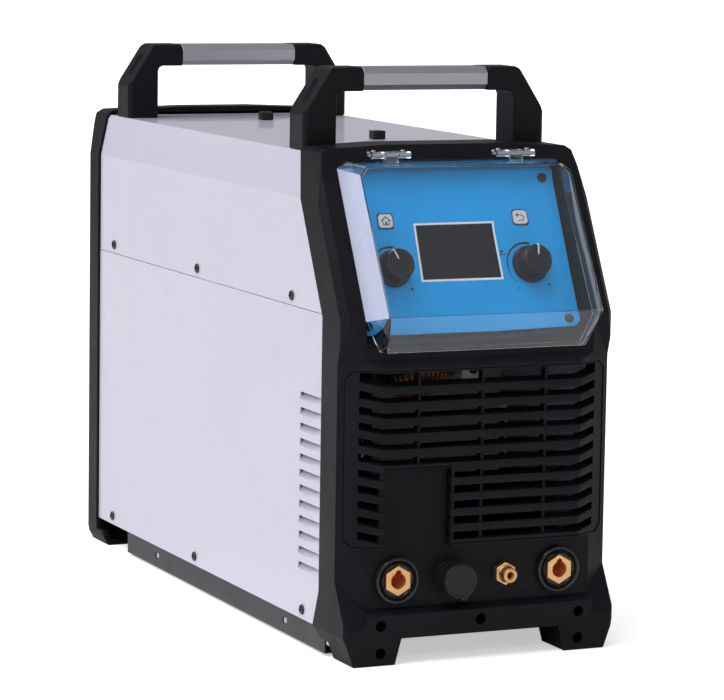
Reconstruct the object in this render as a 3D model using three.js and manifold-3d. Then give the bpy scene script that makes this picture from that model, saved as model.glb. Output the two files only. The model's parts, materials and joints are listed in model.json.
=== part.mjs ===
// Industrial TIG welding power source on four moulded feet, with two carrying handles.
// Millimetres, +X to the right seen from the front, +Y to the rear, +Z up.
// The origin is the bottom centre of the whole machine.
import * as THREE from "three";
import { mergeVertices } from "three/addons/utils/BufferGeometryUtils.js";
import { ConvexGeometry } from "three/addons/geometries/ConvexGeometry.js";
import Module from "manifold-3d";

const wasm = await Module();
wasm.setup();

const gap = 0.3;
const sheet = 1.5;

// Case
const bezelHalf = 135;
const caseHalf = 132.5;
const bezelTopHalf = 126;
const lidTopHalf = 123.5;
const kinkZ = 409;
const lidZ = 450;
const rimZ = 455;
const rimCrown = 4;
const seamZ = 309.5;
const caseBottomZ = 25.3;
const caseFrontY = -270.7;
const caseRearY = 316.8;
const rearY = 350.4;
const bendZ = 308;
const slopeRun = 0.5275;

// Side louvres
const louvreCount = 12;
const louvreLowZ = 77.5;
const louvrePitch = 14.2;
const louvreHigh = 7;
const louvreDeep = 4;

// Front mouldings
const skirtY = -329.3;
const frontY = -327;
const socketPanelY = -318.7;
const cornerY = -306.2;
const bevelX = 98;
const wall = 4;
const archZ = 23.5;
const footOuter = 125.5;
const footInner = 84.8;
const archHalf = 78.5;
const footRearY = -285;
const stopTopY = -304;
const stopTopZ = 78.7;
const stopLowZ = 34.4;
const upperFaceY = -318;

// Grille
const grilleLowZ = 104;
const grilleTopZ = 266;
const grilleHalf = 129;
const slotHalf = 117.4;
const slatPitch = 14.07;
const slatCount = 11;
const slatFirstZ = 112.5;
const slotHeight = 7;
const topSlotHeight = 12;
const slatRise = 7;
const grilleDepth = 10;
const grilleShy = 0.8;
const ribPitch = 62.9;
const ribWidth = 3;
const blankLeft = -96;
const blankRight = -31.2;
const blankTopZ = 175;

// Control panel
const panelTilt = THREE.MathUtils.degToRad(22.5);
const panelY = -266.2;
const panelZ = 364.8;
const panelHalf = 110.5;
const panelHigh = 157;
const panelThick = 2;
const pocketHalf = 112;
const knobX = 69.3;
const knobS = -18;
const buttonS = 27.5;
const buttonWide = 14;
const buttonHigh = 13;
const screenWide = 79.6;
const screenHigh = 52.4;

// Clear cover
const coverRearHalf = 115;
const coverFrontHalf = 105.6;
const coverLowHalf = 98.4;
const coverWall = 2;
const coverTopZ = 445;
const coverLowZ = 281;
const coverFoldY = -350.4;
const coverFoldZ = 315;
const coverTopFrontY = -279;
const hingeY = -253.5;
const hingeZ = 449.5;
const hingeX = 62.5;

// Sockets along the front
const socketX = 80.7;
const socketZ = 75;
const ringR = 21.1;
const fittingX = 25.5;
const hexFlats = 23.8;

// Handles
const legOuter = 122;
const legInner = 90;
const gripEnd = 63;
const gripTopZ = 525.5;
const gripLowZ = 503.5;
const handleDeep = 37.5;
const frontHandleY = -175.2;
const rearHandleY = 280.6;

const root = new THREE.Group();
root.name = "tig_welding_machine";

const paint = (color, roughness, metalness = 0) => ({ color, roughness, metalness });
const look = {
  white: paint(0xeae9f0, 0.35),
  black: paint(0x1b1b1e, 0.6),
  darkGrey: paint(0x4c4d52, 0.5, 0.2),
  alu: paint(0xb9bbbe, 0.35, 1),
  steel: paint(0x9a9c9f, 0.4, 1),
  brass: paint(0xc98a45, 0.3, 1),
  copper: paint(0xb4653a, 0.35, 1),
  blue: paint(0x2c8ecb, 0.45),
  screen: paint(0x1c1c22, 0.15),
  button: paint(0xe6e4e6, 0.4),
  clear: paint(0xe8eef5, 0.08),
  core: paint(0x3a3b40, 0.6, 0.4),
  board: paint(0x1f5c3a, 0.5),
  varnish: paint(0x7a5a2c, 0.45),
  grey: paint(0xa9a9ad, 0.5),
};

function solid(geometry) {
  const g = geometry.clone();
  g.deleteAttribute("normal");
  g.deleteAttribute("uv");
  const m = mergeVertices(g, 1e-4);
  const count = m.attributes.position.count;
  const index = m.index ? m.index.array : Array.from({ length: count }, (_, i) => i);
  return new wasm.Manifold(new wasm.Mesh({
    numProp: 3,
    vertProperties: new Float32Array(m.attributes.position.array),
    triVerts: new Uint32Array(index),
  }));
}

function add(name, body, material) {
  const made = body.getMesh();
  const g = new THREE.BufferGeometry();
  g.setAttribute("position", new THREE.BufferAttribute(new Float32Array(made.vertProperties), 3));
  g.setIndex(new THREE.BufferAttribute(new Uint32Array(made.triVerts), 1));
  g.computeVertexNormals();
  const mesh = new THREE.Mesh(g, new THREE.MeshStandardMaterial(material));
  mesh.name = name;
  root.add(mesh);
  return body;
}

function extrude(points, length, u, v) {
  const shape = new THREE.Shape(points.map(([a, b]) => new THREE.Vector2(a, b)));
  const g = new THREE.ExtrudeGeometry(shape, { depth: length, bevelEnabled: false, steps: 1 });
  const w = new THREE.Vector3().crossVectors(u, v);
  g.applyMatrix4(new THREE.Matrix4().makeBasis(u, v, w));
  return g;
}

const axisX = new THREE.Vector3(1, 0, 0);
const axisY = new THREE.Vector3(0, 1, 0);
const axisZ = new THREE.Vector3(0, 0, 1);

// Prisms whose outline lies across X, Y or Z.
const prismX = (outline, x0, x1) => solid(extrude(outline, x1 - x0, axisY, axisZ).translate(x0, 0, 0));
const prismY = (outline, y0, y1) => solid(extrude(outline, y1 - y0, axisX, axisZ).translate(0, y1, 0));
const prismZ = (outline, z0, z1) => solid(extrude(outline, z1 - z0, axisX, axisY).translate(0, 0, z0));

function box(x0, x1, y0, y1, z0, z1) {
  const g = new THREE.BoxGeometry(x1 - x0, y1 - y0, z1 - z0);
  return solid(g.translate((x0 + x1) / 2, (y0 + y1) / 2, (z0 + z1) / 2));
}

// Turned piece about an axis along Y, profile as [radius, y] pairs that start and end on the axis.
function turnY(profile, x, z, sides = 32) {
  const g = new THREE.LatheGeometry(profile.map(([r, y]) => new THREE.Vector2(r, y)), sides);
  return solid(g.translate(x, 0, z));
}

function rodY(r, y0, y1, x, z, sides = 28) {
  return turnY([[0, y0], [r, y0], [r, y1], [0, y1]], x, z, sides);
}

function rodX(r, x0, x1, y, z, sides = 20) {
  const g = new THREE.CylinderGeometry(r, r, x1 - x0, sides).rotateZ(Math.PI / 2);
  return solid(g.translate((x0 + x1) / 2, y, z));
}

function rodZ(r, z0, z1, x, y, sides = 24) {
  const g = new THREE.CylinderGeometry(r, r, z1 - z0, sides).rotateX(Math.PI / 2);
  return solid(g.translate(x, y, (z0 + z1) / 2));
}

function hexY(flats, y0, y1, x, z) {
  const points = [];
  for (let i = 0; i < 6; i++) {
    const a = Math.PI / 6 + (i * Math.PI) / 3 + Math.PI / 3;
    points.push([x + (flats / Math.sqrt(3)) * Math.cos(a), z + (flats / Math.sqrt(3)) * Math.sin(a)]);
  }
  return prismY(points, y0, y1);
}

const mirrored = (half) => [...half, ...half.map(([x, z]) => [-x, z]).reverse()];
const union = (list) => list.reduce((a, b) => a.add(b));
const less = (a, list) => list.reduce((m, b) => m.subtract(b), a);

// Height above the bend gives how far the inclined front edge has moved rearwards.
const lean = (z) => Math.max(0, z - bendZ) * slopeRun;
const faceY = (z) => upperFaceY + lean(z);

// Places a body built flat, with X across, Y out of the panel and Z up the slope.
function onPanel(body) {
  const m = new THREE.Matrix4().makeRotationX(-panelTilt);
  const t = new THREE.Matrix4().makeTranslation(0, panelY, panelZ).multiply(m);
  return body.transform(t.elements);
}

// Body outline seen from the front, inset all round by t.
function frontOutline(t) {
  return mirrored([
    [bezelHalf - t, t],
    [bezelHalf - t, kinkZ],
    [bezelTopHalf - t, rimZ - 4 - t * 0.5],
    [bezelTopHalf - 6 - t, rimZ - t],
    [bezelTopHalf / 2, rimZ + rimCrown * 0.75 - t],
    [0, rimZ + rimCrown - t],
  ].filter((p) => p[0] > 0));
}

function columnPlan(t) {
  const nx = t * 0.49;
  const ny = t * 0.872;
  const run = (cornerY - frontY) / (bezelHalf - bevelX);
  const x1 = bezelHalf - t;
  const y1 = cornerY + ny - run * (bezelHalf - nx - x1);
  const y2 = frontY + t;
  const x2 = bezelHalf - nx - (cornerY + ny - y2) / run;
  return [[-x1, 0], [-x1, y1], [-x2, y2], [x2, y2], [x1, y1], [x1, 0]];
}

function bezelRearTrim() {
  return prismX([
    [footRearY, -10],
    [footRearY, 0],
    [-257.7, caseBottomZ],
    [caseFrontY, 59.6],
    [caseFrontY, bendZ],
    [caseFrontY + lean(lidZ + 2), lidZ + 2],
    [caseFrontY + lean(lidZ + 2), rimZ + 20],
    [100, rimZ + 20],
    [100, -10],
  ], -200, 200);
}

function skirtBlock() {
  const corner = 2.5;
  const plan = [
    [-bezelHalf, 0], [-bezelHalf, skirtY + corner], [-bezelHalf + corner, skirtY],
    [bezelHalf - corner, skirtY], [bezelHalf, skirtY + corner], [bezelHalf, 0],
  ];
  const profile = [[0, 0], [skirtY, 0], [skirtY, 45.5], [socketPanelY, 50], [socketPanelY, 60], [0, 60]];
  const side = [[0, 0], [skirtY, 0], [skirtY, stopLowZ], [stopTopY, stopTopZ], [0, stopTopZ]];
  const middle = prismX(profile, -113, 113);
  const ends = prismX(side, -bezelHalf, -113).add(prismX(side, 113, bezelHalf));
  const outline = mirrored([
    [archHalf, archZ], [footInner, 0], [footOuter, 0], [bezelHalf, 26], [bezelHalf, 90],
  ]);
  return middle.add(ends).intersect(prismZ(plan, 0, 90)).intersect(prismY(outline, -400, 0));
}

function columnBlock() {
  const profile = [
    [0, 40],
    [socketPanelY, 40],
    [socketPanelY, grilleLowZ],
    [frontY, grilleLowZ],
    [frontY, grilleTopZ + 2],
    [upperFaceY, 273.5],
    [upperFaceY, bendZ],
    [0, bendZ],
  ];
  return prismX(profile, -bezelHalf, bezelHalf).intersect(prismZ(columnPlan(0), 0, 400));
}

function upperBlock() {
  const c = 6.2;
  const rise = 170;
  const cornerLowZ = 268;
  const stretch = Math.hypot(1, slopeRun);
  const slope = new THREE.Vector3(0, -slopeRun, -1).normalize();
  const out = new THREE.Vector3().crossVectors(slope, axisX);
  const upper = extrude([
    [-bezelHalf, -160], [bezelHalf, -160], [bezelHalf, -c], [bezelHalf - c, 0],
    [-bezelHalf + c, 0], [-bezelHalf, -c],
  ], (rise + 40) * stretch, axisX, out).translate(0, upperFaceY + rise * slopeRun, bendZ + rise);
  const trim = [[0, bendZ], [-400, bendZ], [-400, 480], [0, 480]];
  const leaning = solid(upper).intersect(prismX(trim, -200, 200));
  const bevelY = upperFaceY + c * stretch;
  const plan = [
    [-bezelHalf, 0], [-bezelHalf, bevelY], [-bezelHalf + c, upperFaceY],
    [bezelHalf - c, upperFaceY], [bezelHalf, bevelY], [bezelHalf, 0],
  ];
  // Below the bend the corners run back until they meet the corners of the column.
  const corners = prismX([
    [0, bendZ], [upperFaceY, bendZ], [cornerY, cornerLowZ], [0, cornerLowZ],
  ], -200, 200);
  return leaning.add(prismZ(plan, cornerLowZ, bendZ).intersect(corners));
}

function bezelCavity() {
  const low = prismX([
    [0, archZ + wall], [skirtY + wall, archZ + wall], [skirtY + wall, 42],
    [socketPanelY + wall, 50], [0, 50],
  ], -110, 110);
  const mid = prismX([
    [0, archZ + wall], [socketPanelY + wall, archZ + wall], [socketPanelY + wall, 281],
    [-299, 284.5], [-294.5, 288], [-232.5, 438], [-232.5, rimZ - wall], [0, rimZ - wall],
  ], -200, 200).intersect(prismZ(columnPlan(wall), 0, 500));
  const outline = mirrored([
    [bezelHalf - wall, 10], [bezelHalf - wall, kinkZ], [bezelTopHalf - wall - 1, rimZ - wall],
  ]);
  const under = box(-bezelHalf + wall, bezelHalf - wall, footRearY, 0, -10, archZ + wall + 1);
  return low.add(mid).intersect(prismY(outline, -400, 50)).add(under);
}

function grilleOutline(t) {
  const x = grilleHalf + t;
  const z0 = grilleLowZ + 2 - t;
  const z1 = grilleTopZ - 2 + t;
  const c = 7;
  return [
    [-x + c, z0], [blankLeft + t, z0], [blankLeft + t, blankTopZ - t + 1.5],
    [blankRight - t, blankTopZ - t + 1.5], [blankRight - t, z0], [x - c, z0], [x, z0 + c],
    [x, z1 - c], [x - c, z1], [-x + c, z1],
    [-x, z1 - c], [-x, z0 + c],
  ];
}

function footPockets() {
  const pockets = [];
  for (const side of [-1, 1]) {
    const a = side * 92;
    const b = side * 118;
    pockets.push(box(Math.min(a, b), Math.max(a, b), skirtY + wall, footRearY - wall, 4, archZ + wall + 2));
  }
  return pockets;
}

function skirtHoles() {
  const holes = [];
  for (const x of [-98.9, 0, 98.9]) holes.push(rodY(5, skirtY - 5, skirtY + wall + 3, x, 35.8, 20));
  for (const x of [-98.9, 98.9]) holes.push(rodY(5, skirtY - 5, skirtY + wall + 3, x, 11, 20));
  return holes;
}

function controlPocket() {
  const top = panelHigh / 2 + 1;
  const c = Math.cos(panelTilt);
  const s = Math.sin(panelTilt);
  const pocket = prismX([
    [panelY + top * s, panelZ + top * c],
    [-360, panelZ + top * c + 6],
    [-360, 286],
    [panelY - top * s, panelZ - top * c - 1],
  ], -pocketHalf, pocketHalf);
  const window = box(-104, 104, -30, 30, -71, 71);
  return pocket.add(onPanel(window));
}

function bezelForm() {
  return union([skirtBlock(), columnBlock(), upperBlock()])
    .intersect(prismY(frontOutline(0), -400, 0))
    .subtract(bezelRearTrim());
}

function makeFrontBezel() {
  const grille = prismY(grilleOutline(gap), -400, -298);
  const blank = box(blankLeft, blankRight, -400, socketPanelY, grilleLowZ - 5, blankTopZ);
  const panelHoles = [
    rodY(15, -400, -300, -socketX, socketZ),
    rodY(15, -400, -300, socketX, socketZ),
    rodY(13, -400, -300, -fittingX, socketZ - 1),
    rodY(7, -400, -300, fittingX, socketZ),
    rodY(2.2, socketPanelY - 1, socketPanelY + 10, strapScrew.x, strapScrew.z, 16),
  ];
  const hollow = [bezelCavity(), grille, blank, controlPocket()];
  const holes = [...panelHoles, ...footPockets(), ...skirtHoles()];
  add("front_bezel", less(bezelForm(), [...hollow, ...holes]), look.black);
}

const strapScrew = { x: -14.5, z: 55.5 };

function makeGrille() {
  const inner = grilleShy + grilleDepth;
  const backY = frontY + inner - 0.2;
  const band = prismZ(columnPlan(grilleShy), 0, 400).subtract(prismZ(columnPlan(inner), -1, 401));
  let body = band.intersect(prismY(grilleOutline(-0.1), -400, -293));
  for (let i = 0; i < slatCount; i++) {
    const z0 = slatFirstZ + i * slatPitch - 7.5;
    const z1 = z0 + slatRise + 6;
    const top = i === slatCount - 1 ? topSlotHeight : slotHeight;
    const slot = prismX([[-340, z0], [-300, z1], [-300, z1 + top], [-340, z0 + top]], -slotHalf, slotHalf);
    const bounds = prismY([
      [-slotHalf, grilleLowZ + 4], [slotHalf, grilleLowZ + 4], [slotHalf, grilleTopZ - 3.4],
      [-slotHalf, grilleTopZ - 3.4],
    ], -400, -250);
    body = body.subtract(slot.intersect(bounds));
  }
  const ribs = [];
  for (let i = -1; i <= 1; i++) {
    const low = i === -1 ? blankTopZ : grilleLowZ + 3;
    const x = i * ribPitch;
    ribs.push(box(x - ribWidth / 2, x + ribWidth / 2, frontY + 2.6, backY, low, grilleTopZ - 3));
  }
  const post = box(blankLeft - 4.5, blankLeft - 1.2, -324.5, backY, grilleLowZ + 3, blankTopZ + 4);
  const edge = box(blankRight + 0.6, blankRight + 4, frontY + 1.5, backY, grilleLowZ + 3, blankTopZ + 4);
  const whole = union([body, ...ribs, post, edge]).intersect(prismY(grilleOutline(-0.1), -400, -293));
  add("front_grille", whole, look.black);
}

function makePanel() {
  const corner = 6;
  const h = panelHigh / 2;
  const w = panelHalf;
  const outline = [
    [-w + corner, -h], [w - corner, -h], [w, -h + corner], [w, h - corner], [w - corner, h],
    [-w + corner, h], [-w, h - corner], [-w, -h + corner],
  ];
  let plate = prismY(outline, -panelThick, -gap);
  plate = plate.subtract(box(-screenWide / 2 - gap, screenWide / 2 + gap, -9, 9, -screenHigh / 2 - 3 - gap,
    screenHigh / 2 - 3 + gap));
  for (const x of [-knobX, knobX]) {
    plate = plate.subtract(rodY(5, -9, 9, x, knobS, 20));
    plate = plate.subtract(box(x - buttonWide / 2 - 0.4, x + buttonWide / 2 + 0.4, -9, 9,
      buttonS - buttonHigh / 2 - 0.4, buttonS + buttonHigh / 2 + 0.4));
  }
  add("control_panel", onPanel(plate), look.blue);
  const screen = box(-screenWide / 2, screenWide / 2, -1.7, 5, -screenHigh / 2 - 3, screenHigh / 2 - 3);
  const module = box(-screenWide / 2 - 7, screenWide / 2 + 7, 1, 7, -screenHigh / 2 - 7, screenHigh / 2 + 1);
  add("display_module", onPanel(screen.add(module)), look.screen);
  const control = box(-102, 102, 14, 15.6, -66, 66);
  add("control_board", onPanel(control), look.board);
}

function makeKnob(name, x) {
  const skirt = turnY([[0, -8.2], [16.4, -8.2], [17.3, -7.4], [17.3, -2.9], [0, -2.9]], 0, 0, 40);
  let grip = turnY([[0, -23], [12.8, -23], [14.6, -21.4], [15.2, -8], [0, -8]], 0, 0, 40);
  for (let i = 0; i < 3; i++) {
    const cut = box(13.1, 22, -40, -9.4, -20, 20).rotate([0, i * 120, 0]);
    grip = grip.subtract(cut);
  }
  const notch = box(-0.7, 0.7, -24, -22.2, 4, 16);
  const body = union([skirt, grip]).subtract(notch).subtract(rodY(3.3, -14, 0, 0, 0, 20));
  add(`knob_${name}`, onPanel(body.translate([x, 0, knobS])), look.black);
}

function makeEncoder(name, x) {
  const shaft = rodY(3, -13, 5, x, knobS, 20);
  const body = box(x - 7, x + 7, 4.6, 11, knobS - 7, knobS + 7);
  const bush = rodY(4.4, -1.6, 5, x, knobS, 20);
  add(`encoder_${name}`, onPanel(union([shaft, body, bush])), look.steel);
}

function makeButton(name, x) {
  const w = buttonWide / 2;
  const h = buttonHigh / 2;
  const c = 2;
  const face = prismY([
    [x - w + c, buttonS - h], [x + w - c, buttonS - h], [x + w, buttonS - h + c], [x + w, buttonS + h - c],
    [x + w - c, buttonS + h], [x - w + c, buttonS + h], [x - w, buttonS + h - c], [x - w, buttonS - h + c],
  ], -3.4, 3);
  const stem = box(x - 2.5, x + 2.5, 2, 12, buttonS - 2.5, buttonS + 2.5);
  add(`${name}_button`, onPanel(face.add(stem)), look.button);
}

function coverHull(t) {
  const points = [];
  const put = (x, y, z) => points.push(new THREE.Vector3(x, y, z), new THREE.Vector3(-x, y, z));
  const rear = coverRearHalf - t;
  const front = coverFrontHalf - t;
  const low = coverLowHalf - t;
  const top = coverTopZ - t;
  put(rear - 8, faceY(top) + 6, top);
  put(rear, faceY(top - 6) + 6, top - 6);
  put(rear, upperFaceY + 6, bendZ - 1);
  put(low + 3, upperFaceY + 6, coverLowZ + t);
  put(front - 8, coverTopFrontY + t, top - 3);
  put(front, coverTopFrontY + t - 4, top - 10);
  put(front, coverFoldY + t, coverFoldZ);
  put(low, coverFoldY + 19 + t, coverLowZ + t);
  return solid(new ConvexGeometry(points));
}

function makeCover() {
  const front = prismX([
    [faceY(500) - 0.5, 500], [upperFaceY - 0.5, bendZ], [upperFaceY - 0.5, 260], [0, 260], [0, 500],
  ], -200, 200);
  let body = coverHull(0).subtract(coverHull(coverWall)).subtract(front);
  for (const x of [-hingeX, hingeX]) {
    const knuckle = rodX(3.2, x - 6.8, x + 6.8, hingeY, hingeZ);
    const web = box(x - 6.8, x + 6.8, hingeY - 3.2, hingeY + 2.4, coverTopZ - 1, hingeZ);
    body = union([body, web, knuckle]).subtract(rodX(1.3, x - 10, x + 10, hingeY, hingeZ));
  }
  add("clear_cover", body, look.clear);
}

function makeHinge(name, x) {
  const parts = [];
  const toBezel = prismX([
    [faceY(500) - gap, 500], [upperFaceY - gap, bendZ], [0, bendZ], [0, 500],
  ], -200, 200);
  for (const side of [-1, 1]) {
    const a = x + side * 7.3;
    const b = x + side * 19;
    const x0 = Math.min(a, b);
    const x1 = Math.max(a, b);
    parts.push(rodX(3.2, x0, x1, hingeY, hingeZ));
    parts.push(box(x0, x1, hingeY, -238, hingeZ - 1.4, hingeZ + 3.2));
  }
  const bridge = box(x - 19, x + 19, hingeY + 9.2, -236, hingeZ - 1.4, hingeZ + 3.2);
  const bore = rodX(1.3, x - 22, x + 22, hingeY, hingeZ);
  add(`hinge_base_${name}`, less(union([...parts, bridge]), [toBezel, bore]), look.clear);
  add(`hinge_pin_${name}`, rodX(1.2, x - 19.4, x + 19.4, hingeY, hingeZ, 16), look.steel);
}

// Case sheet metal
function lidForm(t) {
  const flank = 3 * Math.tan(Math.PI / 8);
  return mirrored([
    [caseHalf - t, seamZ + (t > 0 ? -5 : gap / 2)],
    [caseHalf - t, kinkZ - t * 0.1],
    [lidTopHalf - t + 0.9, lidZ - 3.4 - t * 0.8],
    [lidTopHalf - t - flank - 0.4, lidZ - t],
  ]);
}

function makeLid() {
  const y0 = -400;
  const inside = prismY(lidForm(sheet), y0 - 1, caseRearY + 1);
  const shell = prismY(lidForm(0), y0, caseRearY - gap).subtract(inside);
  const trim = prismX([
    [-500, 250], [caseFrontY + gap, 250], [caseFrontY + gap, bendZ],
    [caseFrontY + gap + lean(480), 480], [-500, 480],
  ], -200, 200);
  const holes = studs.map(({ x, y }) => rodZ(3.3, lidZ - 8, lidZ + 8, x, y, 16));
  for (const y of [frontHandleY, rearHandleY]) {
    for (const x of [-106, 106]) holes.push(rodZ(3.3, lidZ - 8, lidZ + 8, x, y, 12));
  }
  add("top_lid", less(shell, [trim, ...holes]), look.white);
}

// Square bumper studs on the lid
const studHalf = 6.4;
const studHigh = 8.5;
const studs = [{ end: "front", x: 8, y: -68.6 }, { end: "rear", x: 9.5, y: 212 }];

// A louvre is a flap cut free along its top and both ends, and pressed into the case at the top.
function louvre(z) {
  const y0 = caseFrontY + 3;
  const y1 = y0 + 49.5;
  const inner = -caseHalf + sheet;
  const cut = box(-caseHalf - 2, inner + 2, y0, y1, z - louvreHigh, z);
  const flap = prismY([
    [-caseHalf, z - louvreHigh - 1], [inner, z - louvreHigh - 1], [inner + louvreDeep, z - 0.4],
    [-caseHalf + louvreDeep, z - 0.2], [-caseHalf, z - louvreHigh + 0.2],
  ], y0 + 0.4, y1 - 0.4);
  return { cut, flap };
}

function makeSidePanel(name, side) {
  const outline = [
    [caseFrontY + gap, 60], [-257.3, caseBottomZ], [caseRearY - gap, caseBottomZ],
    [caseRearY - gap, seamZ - gap / 2], [caseFrontY + 1.2, seamZ - gap / 2], [caseFrontY + gap, bendZ - 1],
  ];
  let body = prismX(outline, -caseHalf, -caseHalf + sheet);
  for (let i = 0; i < louvreCount; i++) {
    const { cut, flap } = louvre(louvreLowZ + i * louvrePitch);
    body = body.subtract(cut).add(flap);
  }
  if (side > 0) body = body.mirror([1, 0, 0]);
  add(`side_panel_${name}`, body, look.white);
}

function makeBase() {
  const plateX = caseHalf - sheet - 0.8;
  const top = caseBottomZ;
  let body = box(-plateX, plateX, footRearY + gap, caseRearY + 10, top - 1.8, top);
  for (const side of [-1, 1]) {
    const x0 = side * plateX;
    const x1 = side * (plateX - 1.8);
    body = body.add(box(Math.min(x0, x1), Math.max(x0, x1), -276, 235, 2.4, top));
    const lip = side * (plateX - 14);
    body = body.add(box(Math.min(x0, lip), Math.max(x0, lip), -276, 235, 2.4, 4.2));
    for (const y of [-182.8, 149]) {
      body = body.subtract(box(Math.min(x0, x1) - 3, Math.max(x0, x1) + 3, y - 5, y + 5, 11.8, 17));
    }
  }
  for (let i = 0; i < 6; i++) {
    body = body.subtract(box(-60, 60, 20 + i * 18, 28 + i * 18, top - 6, top + 4));
  }
  add("base_chassis", body, look.darkGrey);
}

// Rear mouldings
const rearOpenHalf = 119;
const rearOpenLowZ = 32;
const rearOpenTopZ = 436;
const rearPanelY = 338;

function makeRearBezel() {
  const c = 7;
  const plan = [
    [-bezelHalf, 0], [bezelHalf, 0], [bezelHalf, rearY - c], [bezelHalf - c, rearY],
    [-bezelHalf + c, rearY], [-bezelHalf, rearY - c],
  ];
  const profile = [
    [288, 0], [336, 0], [rearY, 24], [rearY, rimZ - 6], [rearY - 6, rimZ + rimCrown],
    [caseRearY, rimZ + rimCrown], [caseRearY, 14], [300, 14],
  ];
  const outline = mirrored([
    [archHalf, 12], [footInner, 0], [bezelHalf - 3, 0], [bezelHalf, 8], [bezelHalf, kinkZ],
    [bezelTopHalf, rimZ - 4], [bezelTopHalf - 6, rimZ], [40, rimZ + rimCrown - 1],
  ]);
  let body = prismX(profile, -bezelHalf, bezelHalf).intersect(prismZ(plan, -1, 480));
  body = body.intersect(prismY(outline, 0, 400));
  const inner = mirrored([
    [bezelHalf - wall, caseBottomZ + 2.5], [bezelHalf - wall, kinkZ], [bezelTopHalf - wall - 1, rimZ - wall],
  ]);
  const window = prismY(mirrored([
    [rearOpenHalf - 8, rearOpenLowZ], [rearOpenHalf, rearOpenLowZ + 8], [rearOpenHalf, rearOpenTopZ - 30],
    [rearOpenHalf - 8, rearOpenTopZ],
  ]), 250, 400);
  const x = bezelHalf - wall;
  const under = box(-x, x, 200, caseRearY + 11, caseBottomZ - 2.2, caseBottomZ + 3);
  const footSlots = [-1, 1].map((s) => box(
    Math.min(s * 92, s * 127), Math.max(s * 92, s * 127), 280, 330, 5, caseBottomZ + 3));
  const cavity = prismY(inner, 200, rearY - wall - 2);
  add("rear_bezel", less(body, [cavity, window, under, ...footSlots]), look.black);
}

const fan = { x: 0, z: 236, r: 92 };
const breaker = { x: -62, z: 384 };
const gland = { x: 66, z: 78 };
const gasIn = { x: -66, z: 74 };
const earth = { x: 0, z: 58 };

function makeRearPanel() {
  const half = rearOpenHalf + 6;
  let plate = box(-half, half, rearPanelY, rearPanelY + 2, rearOpenLowZ - 3, kinkZ + 24);
  plate = less(plate, [
    rodY(fan.r, 300, 400, fan.x, fan.z, 48),
    box(breaker.x - 26.5, breaker.x + 26.5, 300, 400, breaker.z - 23, breaker.z + 23),
    rodY(12.3, 300, 400, gland.x, gland.z, 24),
    rodY(6.3, 300, 400, gasIn.x, gasIn.z, 20),
    rodY(4.3, 300, 400, earth.x, earth.z, 16),
  ]);
  add("rear_panel", plate, look.darkGrey);
}

function makeFan() {
  const s = 99;
  const c = 14;
  const outline = [
    [-s + c, -s], [s - c, -s], [s, -s + c], [s, s - c], [s - c, s], [-s + c, s], [-s, s - c], [-s, -s + c],
  ].map(([x, z]) => [x + fan.x, z + fan.z]);
  const y0 = 292;
  const y1 = rearPanelY - gap;
  let frame = prismY(outline, y0, y1).subtract(rodY(fan.r - 1, 200, 400, fan.x, fan.z, 48));
  const motor = rodY(30, y0, y0 + 10, fan.x, fan.z, 32);
  const stays = [];
  for (let i = 0; i < 4; i++) {
    stays.push(box(0, fan.r + 4, y0, y0 + 5, -3, 3).rotate([0, i * 90 + 45, 0]).translate([fan.x, 0, fan.z]));
  }
  const stayed = union([motor, ...stays]);
  frame = frame.add(stayed).add(rodY(4, y0 + 5, y0 + 24, fan.x, fan.z, 16));
  add("fan_frame", frame, look.black);
  const hub = rodY(31, y0 + 11, y0 + 38, 0, 0, 32);
  let rotor = hub;
  for (let i = 0; i < 7; i++) {
    const blade = box(28, fan.r - 5, -1.1, 1.1, -17, 17).rotate([35, 0, 0]).translate([0, y0 + 25, 0]);
    rotor = rotor.add(blade.rotate([0, (i * 360) / 7, 0]));
  }
  const sweep = rodY(fan.r - 5.5, y0, y0 + 44, 0, 0, 48);
  rotor = rotor.intersect(sweep).subtract(rodY(4.4, y0, y0 + 25, 0, 0, 16));
  add("fan_rotor", rotor.translate([fan.x, 0, fan.z]), look.black);
}

function makeFanGuard() {
  const y = rearPanelY + 6.5;
  const wire = 1.3;
  const rings = [];
  for (const r of [90, 72, 54, 36]) {
    const g = new THREE.TorusGeometry(r, wire, 4, 28).rotateX(Math.PI / 2).translate(fan.x, y, fan.z);
    rings.push(solid(g));
  }
  const hub = rodY(14, y - 1.2, y + 1.2, fan.x, fan.z, 24);
  const arms = [];
  for (let i = 0; i < 4; i++) {
    const arm = box(10, 101, y - 1.2, y + 1.2, -1.5, 1.5).rotate([0, i * 90 + 45, 0]);
    arms.push(arm.translate([fan.x, 0, fan.z]));
  }
  const feet = [];
  for (let i = 0; i < 4; i++) {
    const a = Math.PI / 4 + (i * Math.PI) / 2;
    const x = fan.x + 101 * Math.cos(a);
    const z = fan.z + 101 * Math.sin(a);
    feet.push(rodY(4.5, rearPanelY + 2 + gap, y + 1.2, x, z, 16));
  }
  add("fan_guard", union([...rings, hub, ...arms, ...feet]), look.steel);
}

function makeBreaker() {
  const y = rearPanelY + 2;
  const face = box(breaker.x - 30, breaker.x + 30, y + gap, y + 4.5, breaker.z - 27, breaker.z + 27);
  const block = box(breaker.x - 26, breaker.x + 26, 270, y + 1, breaker.z - 22.5, breaker.z + 22.5);
  const slot = box(breaker.x - 17.5, breaker.x + 17.5, y - 9, y + 8, breaker.z - 11, breaker.z + 11);
  add("breaker_body", union([face, block]).subtract(slot), look.black);
  const lever = box(breaker.x - 16, breaker.x + 16, y - 8, y + 8.6, breaker.z - 3.5, breaker.z + 3.5);
  const barrel = rodX(6, breaker.x - 16.6, breaker.x + 16.6, y - 2, breaker.z, 20);
  const set = union([lever.intersect(box(-200, 200, y - 3, 400, 0, 500)), barrel]);
  add("breaker_lever", set, look.grey);
}

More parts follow.
